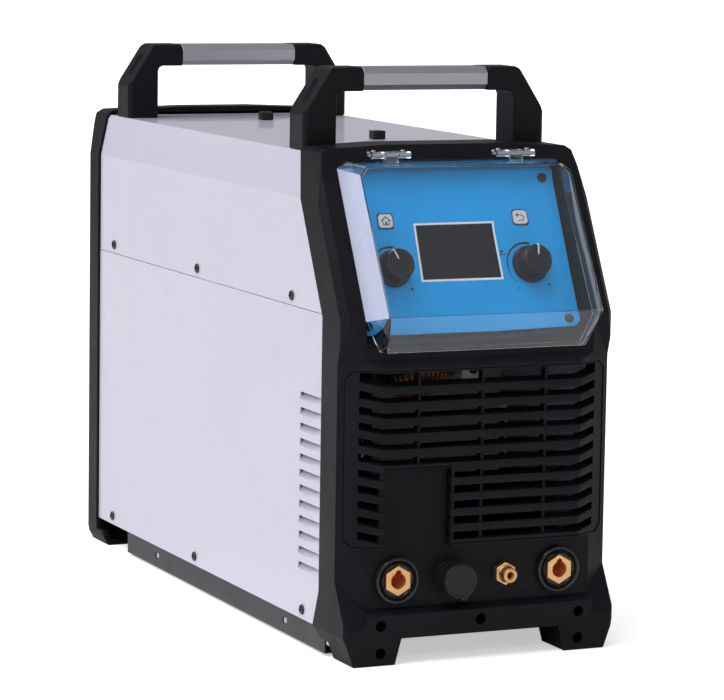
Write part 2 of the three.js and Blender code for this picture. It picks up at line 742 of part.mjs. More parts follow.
function makeGland() {
  const y = rearPanelY + 2;
  const nut = hexY(32, y + gap, y + 5.6, gland.x, gland.z);
  const crown = [[0, y + 5], [14, y + 5], [12.6, y + 9.5], [10.5, y + 10.2], [0, y + 10.2]];
  const dome = turnY(crown, gland.x, gland.z);
  const tube = rodY(12, rearPanelY - 14, y + 2, gland.x, gland.z, 28);
  const lock = hexY(30, rearPanelY - 7, rearPanelY - gap, gland.x, gland.z);
  const bore = rodY(8, 200, 400, gland.x, gland.z, 24);
  add("cable_gland", union([nut, dome, tube, lock]).subtract(bore), look.black);
}

function makeGasInlet() {
  const y = rearPanelY + 2;
  const { x, z } = gasIn;
  const nut = hexY(17, y + gap, y + 5, x, z);
  const barb = turnY([[0, y + 4], [4.6, y + 4], [4.6, y + 6], [3.6, y + 7.6], [4.5, y + 7.9], [3.2, y + 10.3],
    [0, y + 10.3]], x, z, 20);
  const stem = rodY(6, rearPanelY - 22, y + 2, x, z, 20);
  const bore = rodY(1.8, 300, 400, x, z, 12);
  add("gas_inlet", union([nut, barb, stem]).subtract(bore), look.brass);
}

function makeEarth() {
  const y = rearPanelY + 2;
  const { x, z } = earth;
  const washer = rodY(9, y + gap, y + 1.8, x, z, 24);
  const nut = hexY(13, y + 1.5, y + 7, x, z);
  const stem = rodY(4, rearPanelY - 12, y + 10, x, z, 16);
  add("earth_stud", union([washer, nut, stem]), look.brass);
}

// Front fittings
function makeSocket(name, x) {
  const front = socketPanelY - 5.6;
  const body = turnY([
    [0, front + 0.6], [16.2, front + 0.6], [17.4, front], [ringR - 1.2, front], [ringR, front + 1.4],
    [ringR, socketPanelY - gap], [14.7, socketPanelY - gap], [14.7, socketPanelY + 24], [0, socketPanelY + 24],
  ], x, socketZ, 40);
  const hollow = hexY(hexFlats + 0.5, front - 5, socketPanelY + 40, x, socketZ);
  add(`socket_insulator_${name}`, body.subtract(hollow), look.black);
  const insert = hexY(hexFlats, front - 0.8, socketPanelY + 30, x, socketZ);
  const bore = rodY(6.7, front - 5, front + 30, x, socketZ, 32);
  const key = box(x - 2.3, x + 2.3, front - 5, front + 12, socketZ, socketZ + 9.6);
  const stud = rodY(6, socketPanelY + 20, socketPanelY + 48, x, socketZ, 24);
  const mouth = turnY([[0, front - 2], [8.4, front - 2], [6.6, front + 1], [0, front + 1]], x, socketZ, 32);
  add(`socket_insert_${name}`, insert.add(stud).subtract(bore).subtract(key).subtract(mouth), look.brass);
}

function makeGasOutlet() {
  const y = socketPanelY;
  const x = fittingX;
  const nut = hexY(20, y - 8, y - gap, x, socketZ);
  const nose = turnY([
    [0, y - 20], [5, y - 20], [6, y - 18.6], [6, y - 10], [7.4, y - 8], [0, y - 7],
  ], x, socketZ, 28);
  const stem = rodY(6.6, y - 2, y + 22, x, socketZ, 24);
  const lock = hexY(18, y + wall + gap, y + wall + 6, x, socketZ);
  const bore = rodY(1.95, y - 30, y + 30, x, socketZ, 16);
  add("gas_outlet", union([nut, nose, stem, lock]).subtract(bore), look.brass);
}

function makeConnector() {
  const y = socketPanelY;
  const x = -fittingX;
  const z = socketZ - 1;
  const flange = rodY(16.2, y - 2.6, y - gap, x, z, 40);
  const nose = rodY(12.6, y - 13, y - 1, x, z, 36);
  const stem = rodY(12.6, y - 1, y + 20, x, z, 36);
  const lock = hexY(30, y + wall + gap, y + wall + 4, x, z);
  const well = rodY(10.6, y - 20, y - 4, x, z, 32);
  let body = union([flange, nose, stem, lock]).subtract(well);
  for (let i = 0; i < 7; i++) {
    const a = (i * 2 * Math.PI) / 7;
    body = body.add(rodY(1, y - 11, y - 3, x + 6.4 * Math.cos(a), z + 6.4 * Math.sin(a), 8));
  }
  add("remote_connector", body, look.steel);
  const cap = turnY([
    [0, y - 21], [15, y - 21], [16.6, y - 19.6], [16.9, y - 12], [16.9, y - 4.4], [0, y - 4.4],
  ], x, z, 40);
  const inside = rodY(13, y - 17, y + 5, x, z, 40);
  add("connector_cap", cap.subtract(inside), look.black);
  const ring = rodY(17.2, y - 4, y - 2.9, x, z, 40);
  const lug = rodY(4.4, y - 4, y - 2.9, strapScrew.x, strapScrew.z, 20);
  const tab = box(-4, 4, y - 4, y - 2.9, -22, -8).rotate([0, -30, 0]).translate([x, 0, z]);
  const strap = union([ring, lug, tab]).subtract(rodY(13, y - 9, y + 5, x, z, 40));
  add("cap_strap", strap.subtract(rodY(2.3, y - 9, y + 5, strapScrew.x, strapScrew.z, 16)), look.black);
  const dome = [[0, y - 7.2], [2.6, y - 6.9], [4, y - 5.6], [4, y - 4.3], [0, y - 4.3]];
  const head = turnY(dome, strapScrew.x, strapScrew.z, 24);
  const shank = rodY(1.9, y - 5, y + 8, strapScrew.x, strapScrew.z, 12);
  const cross = box(-0.5, 0.5, y - 9, y - 6.1, -2.4, 2.4).add(box(-2.4, 2.4, y - 9, y - 6.1, -0.5, 0.5));
  add("strap_screw", head.add(shank).subtract(cross.translate([strapScrew.x, 0, strapScrew.z])), look.black);
}

// Handles
const elbowZ = 483.5;
const shoulderX = 96.3;
const shoulderZ = 523;

function legForm() {
  return [
    [legInner, lidZ + gap], [legOuter, lidZ + gap], [legOuter, elbowZ], [shoulderX, shoulderZ],
    [93, gripTopZ], [gripEnd + 0.2, gripTopZ], [gripEnd + 0.2, gripLowZ], [legInner - 5, gripLowZ],
    [legInner - 1.5, gripLowZ - 1.5], [legInner, gripLowZ - 5],
  ];
}

// Round-ended slot in the outer chamfer of each bracket
function slotOutline() {
  const r = 5.5;
  const half = 7;
  const points = [];
  for (let i = 0; i <= 16; i++) {
    const a = (i % 9) * (Math.PI / 8) + (i > 8 ? Math.PI : 0);
    points.push([r * Math.cos(a), r * Math.sin(a) + (i > 8 ? -half : half)]);
  }
  return points;
}

function makeBracket(name, side, y) {
  const h = handleDeep / 2;
  const c = 3.2;
  const plan = [
    [0, y - h], [legOuter - c, y - h], [legOuter, y - h + c],
    [legOuter, y + h - c], [legOuter - c, y + h], [0, y + h],
  ];
  const profile = [
    [y - h, 440], [y - h, gripTopZ - c], [y - h + c, gripTopZ], [y + h - c, gripTopZ], [y + h, gripTopZ - c],
    [y + h, 440],
  ];
  let body = prismY(legForm(), y - h, y + h).intersect(prismZ(plan, 440, 540));
  body = body.intersect(prismX(profile, 0, 140));
  const angle = THREE.MathUtils.radToDeg(Math.atan2(legOuter - shoulderX, shoulderZ - elbowZ));
  const slot = prismX(slotOutline().map(([a, b]) => [a + y, b]), -3.5, 3).rotate([0, -angle, 0]);
  body = body.subtract(slot.translate([(legOuter + shoulderX) / 2 + 0.6, 0, (elbowZ + shoulderZ) / 2 + 2]));
  const tongue = box(gripEnd - 14, gripEnd + 1, y - 9, y + 9, gripLowZ + 6, gripTopZ - 6);
  body = body.add(tongue);
  const hollow = box(legInner + 5, legOuter - 6, y - 11, y + 11, 440, 478);
  body = body.subtract(hollow);
  if (side < 0) body = body.mirror([1, 0, 0]);
  add(`handle_bracket_${name}`, body, look.black);
}

function makeGrip(name, y) {
  const h = handleDeep / 2 - 0.5;
  const c = 5;
  const z0 = gripLowZ + 0.5;
  const z1 = gripTopZ - 0.3;
  const outline = [
    [y - h + c, z0], [y + h - c, z0], [y + h, z0 + c], [y + h, z1 - c], [y + h - c, z1], [y - h + c, z1],
    [y - h, z1 - c], [y - h, z0 + c],
  ];
  const core = box(-200, 200, y - 9.3, y + 9.3, gripLowZ + 5.7, gripTopZ - 5.7);
  add(`handle_grip_${name}`, prismX(outline, -gripEnd + 0.1, gripEnd - 0.1).subtract(core), look.alu);
}

function makeStud({ end, x, y }) {
  const c = 1.2;
  const h = studHalf;
  const outline = [
    [c - h, -h], [h - c, -h], [h, c - h], [h, h - c], [h - c, h], [c - h, h], [-h, h - c], [-h, c - h],
  ];
  const head = prismZ(outline.map(([a, b]) => [a + x, b + y]), lidZ + gap, lidZ + studHigh);
  add(`lid_stud_${end}`, head.add(rodZ(3, lidZ - 7, lidZ + 1, x, y, 20)), look.black);
}

// Inner assemblies
function makeHeatSink(name, side) {
  const x0 = 14;
  const fins = [];
  const y0 = -150;
  const y1 = 190;
  const base = box(x0, 112, y0, y1, 196, 204);
  for (let i = 0; i < 9; i++) {
    fins.push(box(x0 + i * 12, x0 + 2.2 + i * 12, y0, y1, 146, 197));
  }
  let body = union([base, ...fins]);
  if (side < 0) body = body.mirror([1, 0, 0]);
  add(`heat_sink_${name}`, body, look.alu);
}

function makeInside() {
  const shelf = box(-128, 128, -170, 262, 136, 138);
  const legs = [-1, 1].map((s) => box(Math.min(s * 126, s * 128), Math.max(s * 126, s * 128), -170, 262,
    caseBottomZ + gap, 137));
  add("inner_shelf", union([shelf, ...legs]), look.steel);
  add("power_board", box(-114, 114, -140, 180, 214, 216), look.board);
  for (let i = 0; i < 2; i++) {
    add(`bus_capacitor_${i + 1}`, rodZ(31, 216 + gap, 300, -45 + i * 90, 60, 32), look.core);
  }
  const core = box(-46, 46, 70, 150, caseBottomZ + gap, 118).subtract(box(-28, 28, 60, 160, 44, 100));
  add("transformer_core", core.add(box(-9, 9, 70, 150, 40, 104)), look.core);
  const coilOut = box(-27.5, 27.5, 58, 162, 44.5, 99.5);
  add("transformer_winding", coilOut.subtract(box(-9.6, 9.6, 69.4, 150.6, 30, 110)), look.varnish);
  const choke = new THREE.TorusGeometry(34, 13, 10, 24).rotateY(Math.PI / 2);
  add("output_choke", solid(choke).translate([-70, -70, 74]), look.copper);
  const ring = new THREE.TorusGeometry(21, 8, 10, 24).rotateX(Math.PI / 2 - 0.5);
  add("ignition_coil", solid(ring).translate([-40, -272, 247]), look.copper);
  add("ignition_board", box(-70, 60, -238, -236, 150, 262), look.board);
  add("current_sensor", box(-8, 16, -296, -268, 250, 268).subtract(rodY(5, -400, 0, 4, 259, 16)), look.grey);
  const valve = box(14, 38, -250, -214, 62, 92).add(rodY(9, -264, -200, 26, 77, 20));
  add("gas_valve", valve, look.brass);
}

makeFrontBezel();
makeGrille();
makePanel();
makeKnob("left", -knobX);
makeKnob("right", knobX);
makeEncoder("left", -knobX);
makeEncoder("right", knobX);
makeButton("home", -knobX);
makeButton("return", knobX);
makeCover();
makeHinge("left", -hingeX);
makeHinge("right", hingeX);
makeLid();
makeSidePanel("left", -1);
makeSidePanel("right", 1);
makeBase();
makeRearBezel();
makeRearPanel();
makeFan();
makeFanGuard();
makeBreaker();
makeGland();
makeGasInlet();
makeEarth();
makeSocket("negative", -socketX);
makeSocket("positive", socketX);
makeGasOutlet();
makeConnector();
for (const [end, y] of [["front", frontHandleY], ["rear", rearHandleY]]) {
  makeBracket(`${end}_left`, -1, y);
  makeBracket(`${end}_right`, 1, y);
  makeGrip(end, y);
}
studs.forEach(makeStud);
makeHeatSink("left", -1);
makeHeatSink("right", 1);
makeInside();

export default root;
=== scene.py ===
import json
import math

import bmesh
import bpy
from mathutils import Matrix, Vector


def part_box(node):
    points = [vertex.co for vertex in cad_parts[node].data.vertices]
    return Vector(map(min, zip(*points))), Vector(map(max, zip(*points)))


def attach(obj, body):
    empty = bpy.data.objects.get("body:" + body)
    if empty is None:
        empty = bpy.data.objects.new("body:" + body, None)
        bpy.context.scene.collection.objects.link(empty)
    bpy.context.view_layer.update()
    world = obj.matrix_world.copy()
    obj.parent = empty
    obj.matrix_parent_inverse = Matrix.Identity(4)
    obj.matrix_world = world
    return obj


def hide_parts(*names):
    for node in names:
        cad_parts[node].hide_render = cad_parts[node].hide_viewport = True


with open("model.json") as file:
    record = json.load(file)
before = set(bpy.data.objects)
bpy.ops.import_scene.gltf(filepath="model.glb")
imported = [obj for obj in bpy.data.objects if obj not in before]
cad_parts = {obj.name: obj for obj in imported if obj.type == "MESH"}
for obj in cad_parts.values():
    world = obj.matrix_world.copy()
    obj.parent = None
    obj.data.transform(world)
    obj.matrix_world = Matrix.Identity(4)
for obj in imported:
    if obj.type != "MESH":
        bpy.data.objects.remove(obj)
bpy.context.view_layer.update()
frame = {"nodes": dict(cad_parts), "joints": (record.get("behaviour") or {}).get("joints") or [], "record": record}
cadNodes = frame["nodes"]
record = frame["record"]
joints = {j["name"]: j for j in frame["joints"]}
bodyOf = {n: body for body, names in record["behaviour"]["bodies"].items() for n in names}
mm = 0.001


# Camera
cameraSettings = {
    "place": (-1.3467, -3.0429, 0.6792),
    "azimuth": -24.29,
    "elevation": 7.54,
    "roll": 0.92,
    "lens": 170.2,
    "sensor": 36.0,
}


def makeCamera(settings):
    a = math.radians(settings["azimuth"])
    e = math.radians(settings["elevation"])
    r = math.radians(settings["roll"])
    back = Vector((math.sin(a) * math.cos(e), -math.cos(a) * math.cos(e), math.sin(e)))
    right = Vector((math.cos(a), math.sin(a), 0))
    up = back.cross(right)
    x = right * math.cos(r) + up * math.sin(r)
    y = up * math.cos(r) - right * math.sin(r)
    data = bpy.data.cameras.new("studioCamera")
    data.lens = settings["lens"]
    data.sensor_width = settings["sensor"]
    camera = bpy.data.objects.new("studioCamera", data)
    bpy.context.scene.collection.objects.link(camera)
    turn = Matrix((x, y, back)).transposed().to_4x4()
    camera.matrix_world = Matrix.Translation(settings["place"]) @ turn
    bpy.context.scene.camera = camera


makeCamera(cameraSettings)
print("camera ready")


# Shader groups
def newGroup(name, inputs, outputs):
    group = bpy.data.node_groups.new(name, "ShaderNodeTree")
    for label, kind, value in inputs:
        socket = group.interface.new_socket(label, in_out="INPUT", socket_type=kind)
        if value is not None:
            socket.default_value = value
    for label, kind in outputs:
        group.interface.new_socket(label, in_out="OUTPUT", socket_type=kind)
    return group, group.nodes.new("NodeGroupInput"), group.nodes.new("NodeGroupOutput")


def noiseNode(tree, vector, scale, detail=3.0):
    noise = tree.nodes.new("ShaderNodeTexNoise")
    noise.inputs["Detail"].default_value = detail
    tree.links.new(vector, noise.inputs["Vector"])
    if isinstance(scale, (int, float)):
        noise.inputs["Scale"].default_value = scale
    else:
        tree.links.new(scale, noise.inputs["Scale"])
    return noise.outputs["Fac"]


def mathNode(tree, kind, a, b):
    node = tree.nodes.new("ShaderNodeMath")
    node.operation = kind
    for socket, value in zip(node.inputs, (a, b)):
        if isinstance(value, (int, float)):
            socket.default_value = value
        else:
            tree.links.new(value, socket)
    return node.outputs[0]


def rangeNode(tree, value, low, high, toLow, toHigh):
    node = tree.nodes.new("ShaderNodeMapRange")
    settings = (("From Min", low), ("From Max", high), ("To Min", toLow), ("To Max", toHigh))
    tree.links.new(value, node.inputs["Value"])
    for label, setting in settings:
        if isinstance(setting, (int, float)):
            node.inputs[label].default_value = setting
        else:
            tree.links.new(setting, node.inputs[label])
    return node.outputs["Result"]


def mixNode(tree, amount, a, b):
    node = tree.nodes.new("ShaderNodeMix")
    node.data_type = "RGBA"
    tree.links.new(amount, node.inputs["Factor"])
    colours = [s for s in node.inputs if s.type == "RGBA"]
    for socket, value in zip(colours, (a, b)):
        if isinstance(value, (tuple, list)):
            socket.default_value = value
        else:
            tree.links.new(value, socket)
    return [s for s in node.outputs if s.type == "RGBA"][0]


def makeGrainGroup():
    # Fine surface grain with a slow drift of gloss over it
    group, source, out = newGroup(
        "surfaceGrain",
        [
            ("Vector", "NodeSocketVector", None),
            ("Scale", "NodeSocketFloat", 900.0),
            ("Height", "NodeSocketFloat", 0.1),
            ("Low Roughness", "NodeSocketFloat", 0.3),
            ("High Roughness", "NodeSocketFloat", 0.5),
        ],
        [("Normal", "NodeSocketVector"), ("Roughness", "NodeSocketFloat")],
    )
    vector = source.outputs["Vector"]
    fine = noiseNode(group, vector, source.outputs["Scale"], 4.0)
    bump = group.nodes.new("ShaderNodeBump")
    bump.inputs["Distance"].default_value = 0.0003
    group.links.new(source.outputs["Height"], bump.inputs["Strength"])
    group.links.new(fine, bump.inputs["Height"])
    slow = noiseNode(group, vector, 14.0, 5.0)
    slowShare = mathNode(group, "MULTIPLY", slow, 0.75)
    fineShare = mathNode(group, "MULTIPLY", fine, 0.25)
    both = mathNode(group, "ADD", slowShare, fineShare)
    low, high = source.outputs["Low Roughness"], source.outputs["High Roughness"]
    rough = rangeNode(group, both, 0.3, 0.7, low, high)
    group.links.new(bump.outputs["Normal"], out.inputs["Normal"])
    group.links.new(rough, out.inputs["Roughness"])
    return group


def makeDriftGroup():
    # Slow change between two close colours
    group, source, out = newGroup(
        "colourDrift",
        [
            ("Vector", "NodeSocketVector", None),
            ("Base", "NodeSocketColor", None),
            ("Tint", "NodeSocketColor", None),
            ("Scale", "NodeSocketFloat", 20.0),
        ],
        [("Color", "NodeSocketColor")],
    )
    spread = noiseNode(group, source.outputs["Vector"], source.outputs["Scale"], 4.0)
    amount = rangeNode(group, spread, 0.35, 0.65, 0.0, 1.0)
    mixed = mixNode(group, amount, source.outputs["Base"], source.outputs["Tint"])
    group.links.new(mixed, out.inputs["Color"])
    return group


def makeEdgeGroup():
    # Handling wear that shows on outside edges
    group, source, out = newGroup(
        "edgeWear",
        [
            ("Vector", "NodeSocketVector", None),
            ("Color", "NodeSocketColor", None),
            ("Worn", "NodeSocketColor", None),
            ("Amount", "NodeSocketFloat", 0.5),
        ],
        [("Color", "NodeSocketColor")],
    )
    geometry = group.nodes.new("ShaderNodeNewGeometry")
    edge = rangeNode(group, geometry.outputs["Pointiness"], 0.51, 0.6, 0.0, 1.0)
    patches = rangeNode(group, noiseNode(group, source.outputs["Vector"], 60.0, 5.0), 0.3, 0.7, 0.35, 1.0)
    amount = mathNode(group, "MULTIPLY", mathNode(group, "MULTIPLY", edge, patches), source.outputs["Amount"])
    mixed = mixNode(group, amount, source.outputs["Color"], source.outputs["Worn"])
    group.links.new(mixed, out.inputs["Color"])
    return group


grainGroup = makeGrainGroup()
driftGroup = makeDriftGroup()
edgeGroup = makeEdgeGroup()


# Finishes. Colours are linear, grain is in cycles per metre.
finishes = {
    "caseWhite": dict(
        base=(0.55, 0.543, 0.65), tint=(0.535, 0.528, 0.635), worn=(0.7, 0.69, 0.78), wear=0.2,
        grain=420, height=0.015, rough=(0.3, 0.4), drift=6, coat=0.5, spec=0.4,
    ),
    "blackMoulding": dict(
        base=(0.0038, 0.0037, 0.006), tint=(0.0062, 0.006, 0.009), worn=(0.024, 0.024, 0.03), wear=0.35,
        grain=1500, height=0.3, rough=(0.38, 0.52), drift=18, spec=0.12,
    ),
    "blackSatin": dict(
        base=(0.006, 0.006, 0.0075), tint=(0.009, 0.009, 0.011), worn=(0.03, 0.03, 0.035), wear=0.3,
        grain=2600, height=0.1, rough=(0.28, 0.42), drift=40, spec=0.3,
    ),
    "blackGloss": dict(
        base=(0.006, 0.0075, 0.008), tint=(0.009, 0.011, 0.0115), worn=(0.03, 0.03, 0.03), wear=0.2,
        grain=1800, height=0.03, rough=(0.1, 0.18), drift=40, spec=0.4,
    ),
    "chassisGrey": dict(
        base=(0.024, 0.023, 0.027), tint=(0.031, 0.030, 0.034), worn=(0.13, 0.13, 0.13), wear=0.4,
        grain=1100, height=0.16, rough=(0.38, 0.52), drift=9, spec=0.3,
    ),
    "panelBlue": dict(
        base=(0.006, 0.315, 0.72), tint=(0.008, 0.335, 0.77), worn=(0.10, 0.45, 0.9), wear=0.1,
        grain=1500, height=0.05, rough=(0.34, 0.44), drift=12, spec=0.2,
    ),
    "printWhite": dict(
        base=(0.78, 0.80, 0.83), tint=(0.72, 0.74, 0.78), worn=(0.8, 0.8, 0.8), wear=0.0,
        grain=1500, height=0.03, rough=(0.35, 0.5), drift=50,
    ),
    "printDark": dict(
        base=(0.012, 0.016, 0.03), tint=(0.02, 0.025, 0.04), worn=(0.02, 0.02, 0.02), wear=0.0,
        grain=1500, height=0.03, rough=(0.4, 0.5), drift=50,
    ),
    "buttonGrey": dict(
        base=(0.66, 0.65, 0.66), tint=(0.6, 0.59, 0.61), worn=(0.8, 0.8, 0.8), wear=0.2,
        grain=1800, height=0.08, rough=(0.3, 0.42), drift=60,
    ),
    "screenGlass": dict(
        base=(0.009, 0.008, 0.012), tint=(0.013, 0.012, 0.016), worn=(0.03, 0.03, 0.03), wear=0.0,
        grain=900, height=0.01, rough=(0.18, 0.26), drift=25, spec=0.25,
    ),
    "satinAluminium": dict(
        base=(0.44, 0.435, 0.475), tint=(0.38, 0.375, 0.41), worn=(0.8, 0.8, 0.82), wear=0.4, metal=1.0,
        grain=900, height=0.22, rough=(0.32, 0.46), drift=30, stretch=(0.03, 1.0, 1.0),
    ),
    "zincSteel": dict(
        base=(0.52, 0.52, 0.53), tint=(0.42, 0.42, 0.43), worn=(0.75, 0.75, 0.75), wear=0.5, metal=1.0,
        grain=1200, height=0.12, rough=(0.25, 0.4), drift=60,
    ),
    "blackScrew": dict(
        base=(0.006, 0.006, 0.007), tint=(0.009, 0.009, 0.01), worn=(0.08, 0.08, 0.085), wear=0.5,
        grain=2600, height=0.06, rough=(0.14, 0.26), drift=120, spec=0.45,
    ),
    "turnedBrass": dict(
        base=(0.82, 0.47, 0.21), tint=(0.72, 0.38, 0.15), worn=(0.95, 0.68, 0.42), wear=0.5, metal=1.0,
        grain=1600, height=0.16, rough=(0.28, 0.42), drift=90,
    ),
    "boreBrass": dict(
        base=(0.78, 0.29, 0.09), tint=(0.60, 0.20, 0.055), worn=(0.8, 0.4, 0.2), wear=0.1, metal=0.55,
        grain=1600, height=0.2, rough=(0.35, 0.5), drift=90,
    ),
    "copperWire": dict(
        base=(0.32, 0.10, 0.04), tint=(0.24, 0.07, 0.028), worn=(0.45, 0.18, 0.09), wear=0.2, metal=0.9,
        grain=1500, height=0.1, rough=(0.28, 0.42), drift=120,
    ),
    "circuitGreen": dict(
        base=(0.005, 0.022, 0.011), tint=(0.007, 0.03, 0.015), worn=(0.3, 0.25, 0.1), wear=0.1,
        grain=800, height=0.2, rough=(0.25, 0.4), drift=160,
    ),
    "sleeveBlue": dict(
        base=(0.015, 0.022, 0.05), tint=(0.02, 0.03, 0.07), worn=(0.1, 0.1, 0.12), wear=0.2,
        grain=1200, height=0.05, rough=(0.2, 0.32), drift=40,
    ),
    "coreIron": dict(
        base=(0.04, 0.04, 0.045), tint=(0.06, 0.055, 0.055), worn=(0.2, 0.2, 0.2), wear=0.4, metal=0.5,
        grain=700, height=0.4, rough=(0.4, 0.6), drift=60, stretch=(1.0, 0.05, 1.0),
    ),
    "varnishTape": dict(
        base=(0.20, 0.10, 0.03), tint=(0.27, 0.14, 0.045), worn=(0.3, 0.2, 0.1), wear=0.2,
        grain=700, height=0.3, rough=(0.3, 0.45), drift=60, stretch=(1.0, 1.0, 0.1),
    ),
    "lightGrey": dict(
        base=(0.42, 0.42, 0.43), tint=(0.36, 0.36, 0.37), worn=(0.6, 0.6, 0.6), wear=0.2,
        grain=1500, height=0.12, rough=(0.38, 0.5), drift=50,
    ),
    # Painted reflection: this pale lavender film stands for the bright glare on the cover's left wall
    "paintedReflectionFilm": dict(
        base=(0.62, 0.63, 0.78), tint=(0.52, 0.56, 0.78), worn=(0.8, 0.8, 0.9), wear=0.0,
        grain=500, height=0.05, rough=(0.2, 0.35), drift=16, alpha=0.84,
    ),
}
materials = {}


def makeFinish(name, f):
    material = bpy.data.materials.new(name)
    material.use_nodes = True
    tree = material.node_tree
    shader = tree.nodes["Principled BSDF"]
    place = tree.nodes.new("ShaderNodeTexCoord").outputs["Object"]
    if "stretch" in f:
        mapping = tree.nodes.new("ShaderNodeMapping")
        mapping.inputs["Scale"].default_value = f["stretch"]
        tree.links.new(place, mapping.inputs["Vector"])
        place = mapping.outputs["Vector"]
    grain = tree.nodes.new("ShaderNodeGroup")
    grain.node_tree = grainGroup
    grain.inputs["Scale"].default_value = f["grain"]
    grain.inputs["Height"].default_value = f["height"]
    grain.inputs["Low Roughness"].default_value = f["rough"][0]
    grain.inputs["High Roughness"].default_value = f["rough"][1]
    drift = tree.nodes.new("ShaderNodeGroup")
    drift.node_tree = driftGroup
    drift.inputs["Base"].default_value = (*f["base"], 1)
    drift.inputs["Tint"].default_value = (*f["tint"], 1)
    drift.inputs["Scale"].default_value = f["drift"]
    edge = tree.nodes.new("ShaderNodeGroup")
    edge.node_tree = edgeGroup
    edge.inputs["Worn"].default_value = (*f["worn"], 1)
    edge.inputs["Amount"].default_value = f["wear"]
    for node in (grain, drift, edge):
        tree.links.new(place, node.inputs["Vector"])
    tree.links.new(drift.outputs["Color"], edge.inputs["Color"])
    tree.links.new(edge.outputs["Color"], shader.inputs["Base Color"])
    tree.links.new(grain.outputs["Normal"], shader.inputs["Normal"])
    tree.links.new(grain.outputs["Roughness"], shader.inputs["Roughness"])
    shader.inputs["Metallic"].default_value = f.get("metal", 0.0)
    shader.inputs["Coat Weight"].default_value = f.get("coat", 0.0)
    shader.inputs["Coat Roughness"].default_value = 0.05
    shader.inputs["Specular IOR Level"].default_value = f.get("spec", 0.5)
    shader.inputs["Alpha"].default_value = f.get("alpha", 1.0)
    materials[name] = material


def makeClearPlastic():
    material = bpy.data.materials.new("clearPlastic")
    material.use_nodes = True
    tree = material.node_tree
    shader = tree.nodes["Principled BSDF"]
    place = tree.nodes.new("ShaderNodeTexCoord").outputs["Object"]
    rough = rangeNode(tree, noiseNode(tree, place, 45.0, 4.0), 0.4, 0.75, 0.01, 0.07)
    bump = tree.nodes.new("ShaderNodeBump")
    bump.inputs["Strength"].default_value = 0.04
    bump.inputs["Distance"].default_value = 0.001
    tree.links.new(noiseNode(tree, place, 30.0, 2.0), bump.inputs["Height"])
    tree.links.new(bump.outputs["Normal"], shader.inputs["Normal"])
    tree.links.new(rough, shader.inputs["Roughness"])
    shader.inputs["Base Color"].default_value = (0.95, 0.97, 1.0, 1)
    shader.inputs["Transmission Weight"].default_value = 1.0
    shader.inputs["IOR"].default_value = 1.49
    shader.inputs["Specular IOR Level"].default_value = 0.25
    # Lamps shine through the plastic instead of casting a solid shadow
    shadowRay = tree.nodes.new("ShaderNodeLightPath").outputs["Is Shadow Ray"]
    tree.links.new(rangeNode(tree, shadowRay, 0, 1, 1.0, 0.12), shader.inputs["Alpha"])
    materials["clearPlastic"] = material


for finishName, finish in finishes.items():
    makeFinish(finishName, finish)
makeClearPlastic()
print("finishes ready")


# Mesh helpers. A piece is drawn in millimetres, then put in place in metres.
def placeAt(origin, x, y):
    z = Vector(x).cross(Vector(y))
    turn = Matrix((x, y, z)).transposed().to_4x4()
    return Matrix.Translation(origin) @ turn @ Matrix.Scale(mm, 4)


def facingFront(x, y, z):
    return placeAt((x, y, z), (1, 0, 0), (0, 0, 1))


def facingRear(x, y, z):
    return placeAt((x, y, z), (-1, 0, 0), (0, 0, 1))


def facingSide(side, x, y, z):
    return placeAt((x, y, z), (0, side, 0), (0, 0, 1))


def facingUp(x, y, z):
    return placeAt((x, y, z), (1, 0, 0), (0, 1, 0))


def centreOf(node):
    low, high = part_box(node)
    return (low + high) / 2


def acrossAndUp(node):
    low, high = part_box(node)
    return (low.x + high.x) / 2, (low.z + high.z) / 2


# Degrees between faces above which an edge is drawn sharp, and above which it is softened
edgeSettings = {"sharpFrom": 32, "softFrom": 28}


def addPiece(name, bm, finishName, body, bevel=0.0, segments=2, node=None):
    mesh = bpy.data.meshes.new(name)
    bm.to_mesh(mesh)
    bm.free()
    obj = bpy.data.objects.new(name, mesh)
    bpy.context.scene.collection.objects.link(obj)
    mesh.materials.append(materials[finishName])
    mesh.shade_smooth()
    mesh.set_sharp_from_angle(angle=math.radians(edgeSettings["sharpFrom"]))
    if bevel:
        modifier = obj.modifiers.new("softEdges", "BEVEL")
        modifier.width = bevel * mm
        modifier.segments = segments
        modifier.limit_method = "ANGLE"
        modifier.angle_limit = math.radians(edgeSettings["softFrom"])
        modifier.use_clamp_overlap = False
        modifier.harden_normals = True
    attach(obj, body)
    if node:
        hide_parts(node)


def finishPiece(name, bm, place, finishName, body, bevel=0.0, segments=2, node=None):
    # Takes a mesh drawn in millimetres and puts it in its place
    bmesh.ops.remove_doubles(bm, verts=bm.verts, dist=0.0005)
    bmesh.ops.recalc_face_normals(bm, faces=bm.faces)
    bm.transform(place)
    addPiece(name, bm, finishName, body, bevel, segments, node)


def turned(profile, steps=64):
    # A profile of (radius, height) points spun round Z
    bm = bmesh.new()
    points = [bm.verts.new((r, 0, z)) for r, z in profile]
    edges = [bm.edges.new(pair) for pair in zip(points, points[1:])]
    bmesh.ops.spin(
        bm, geom=points + edges, cent=(0, 0, 0), axis=(0, 0, 1), dvec=(0, 0, 0),
        angle=math.tau, steps=steps, use_merge=True,
    )
    bmesh.ops.remove_doubles(bm, verts=bm.verts, dist=0.001)
    return bm


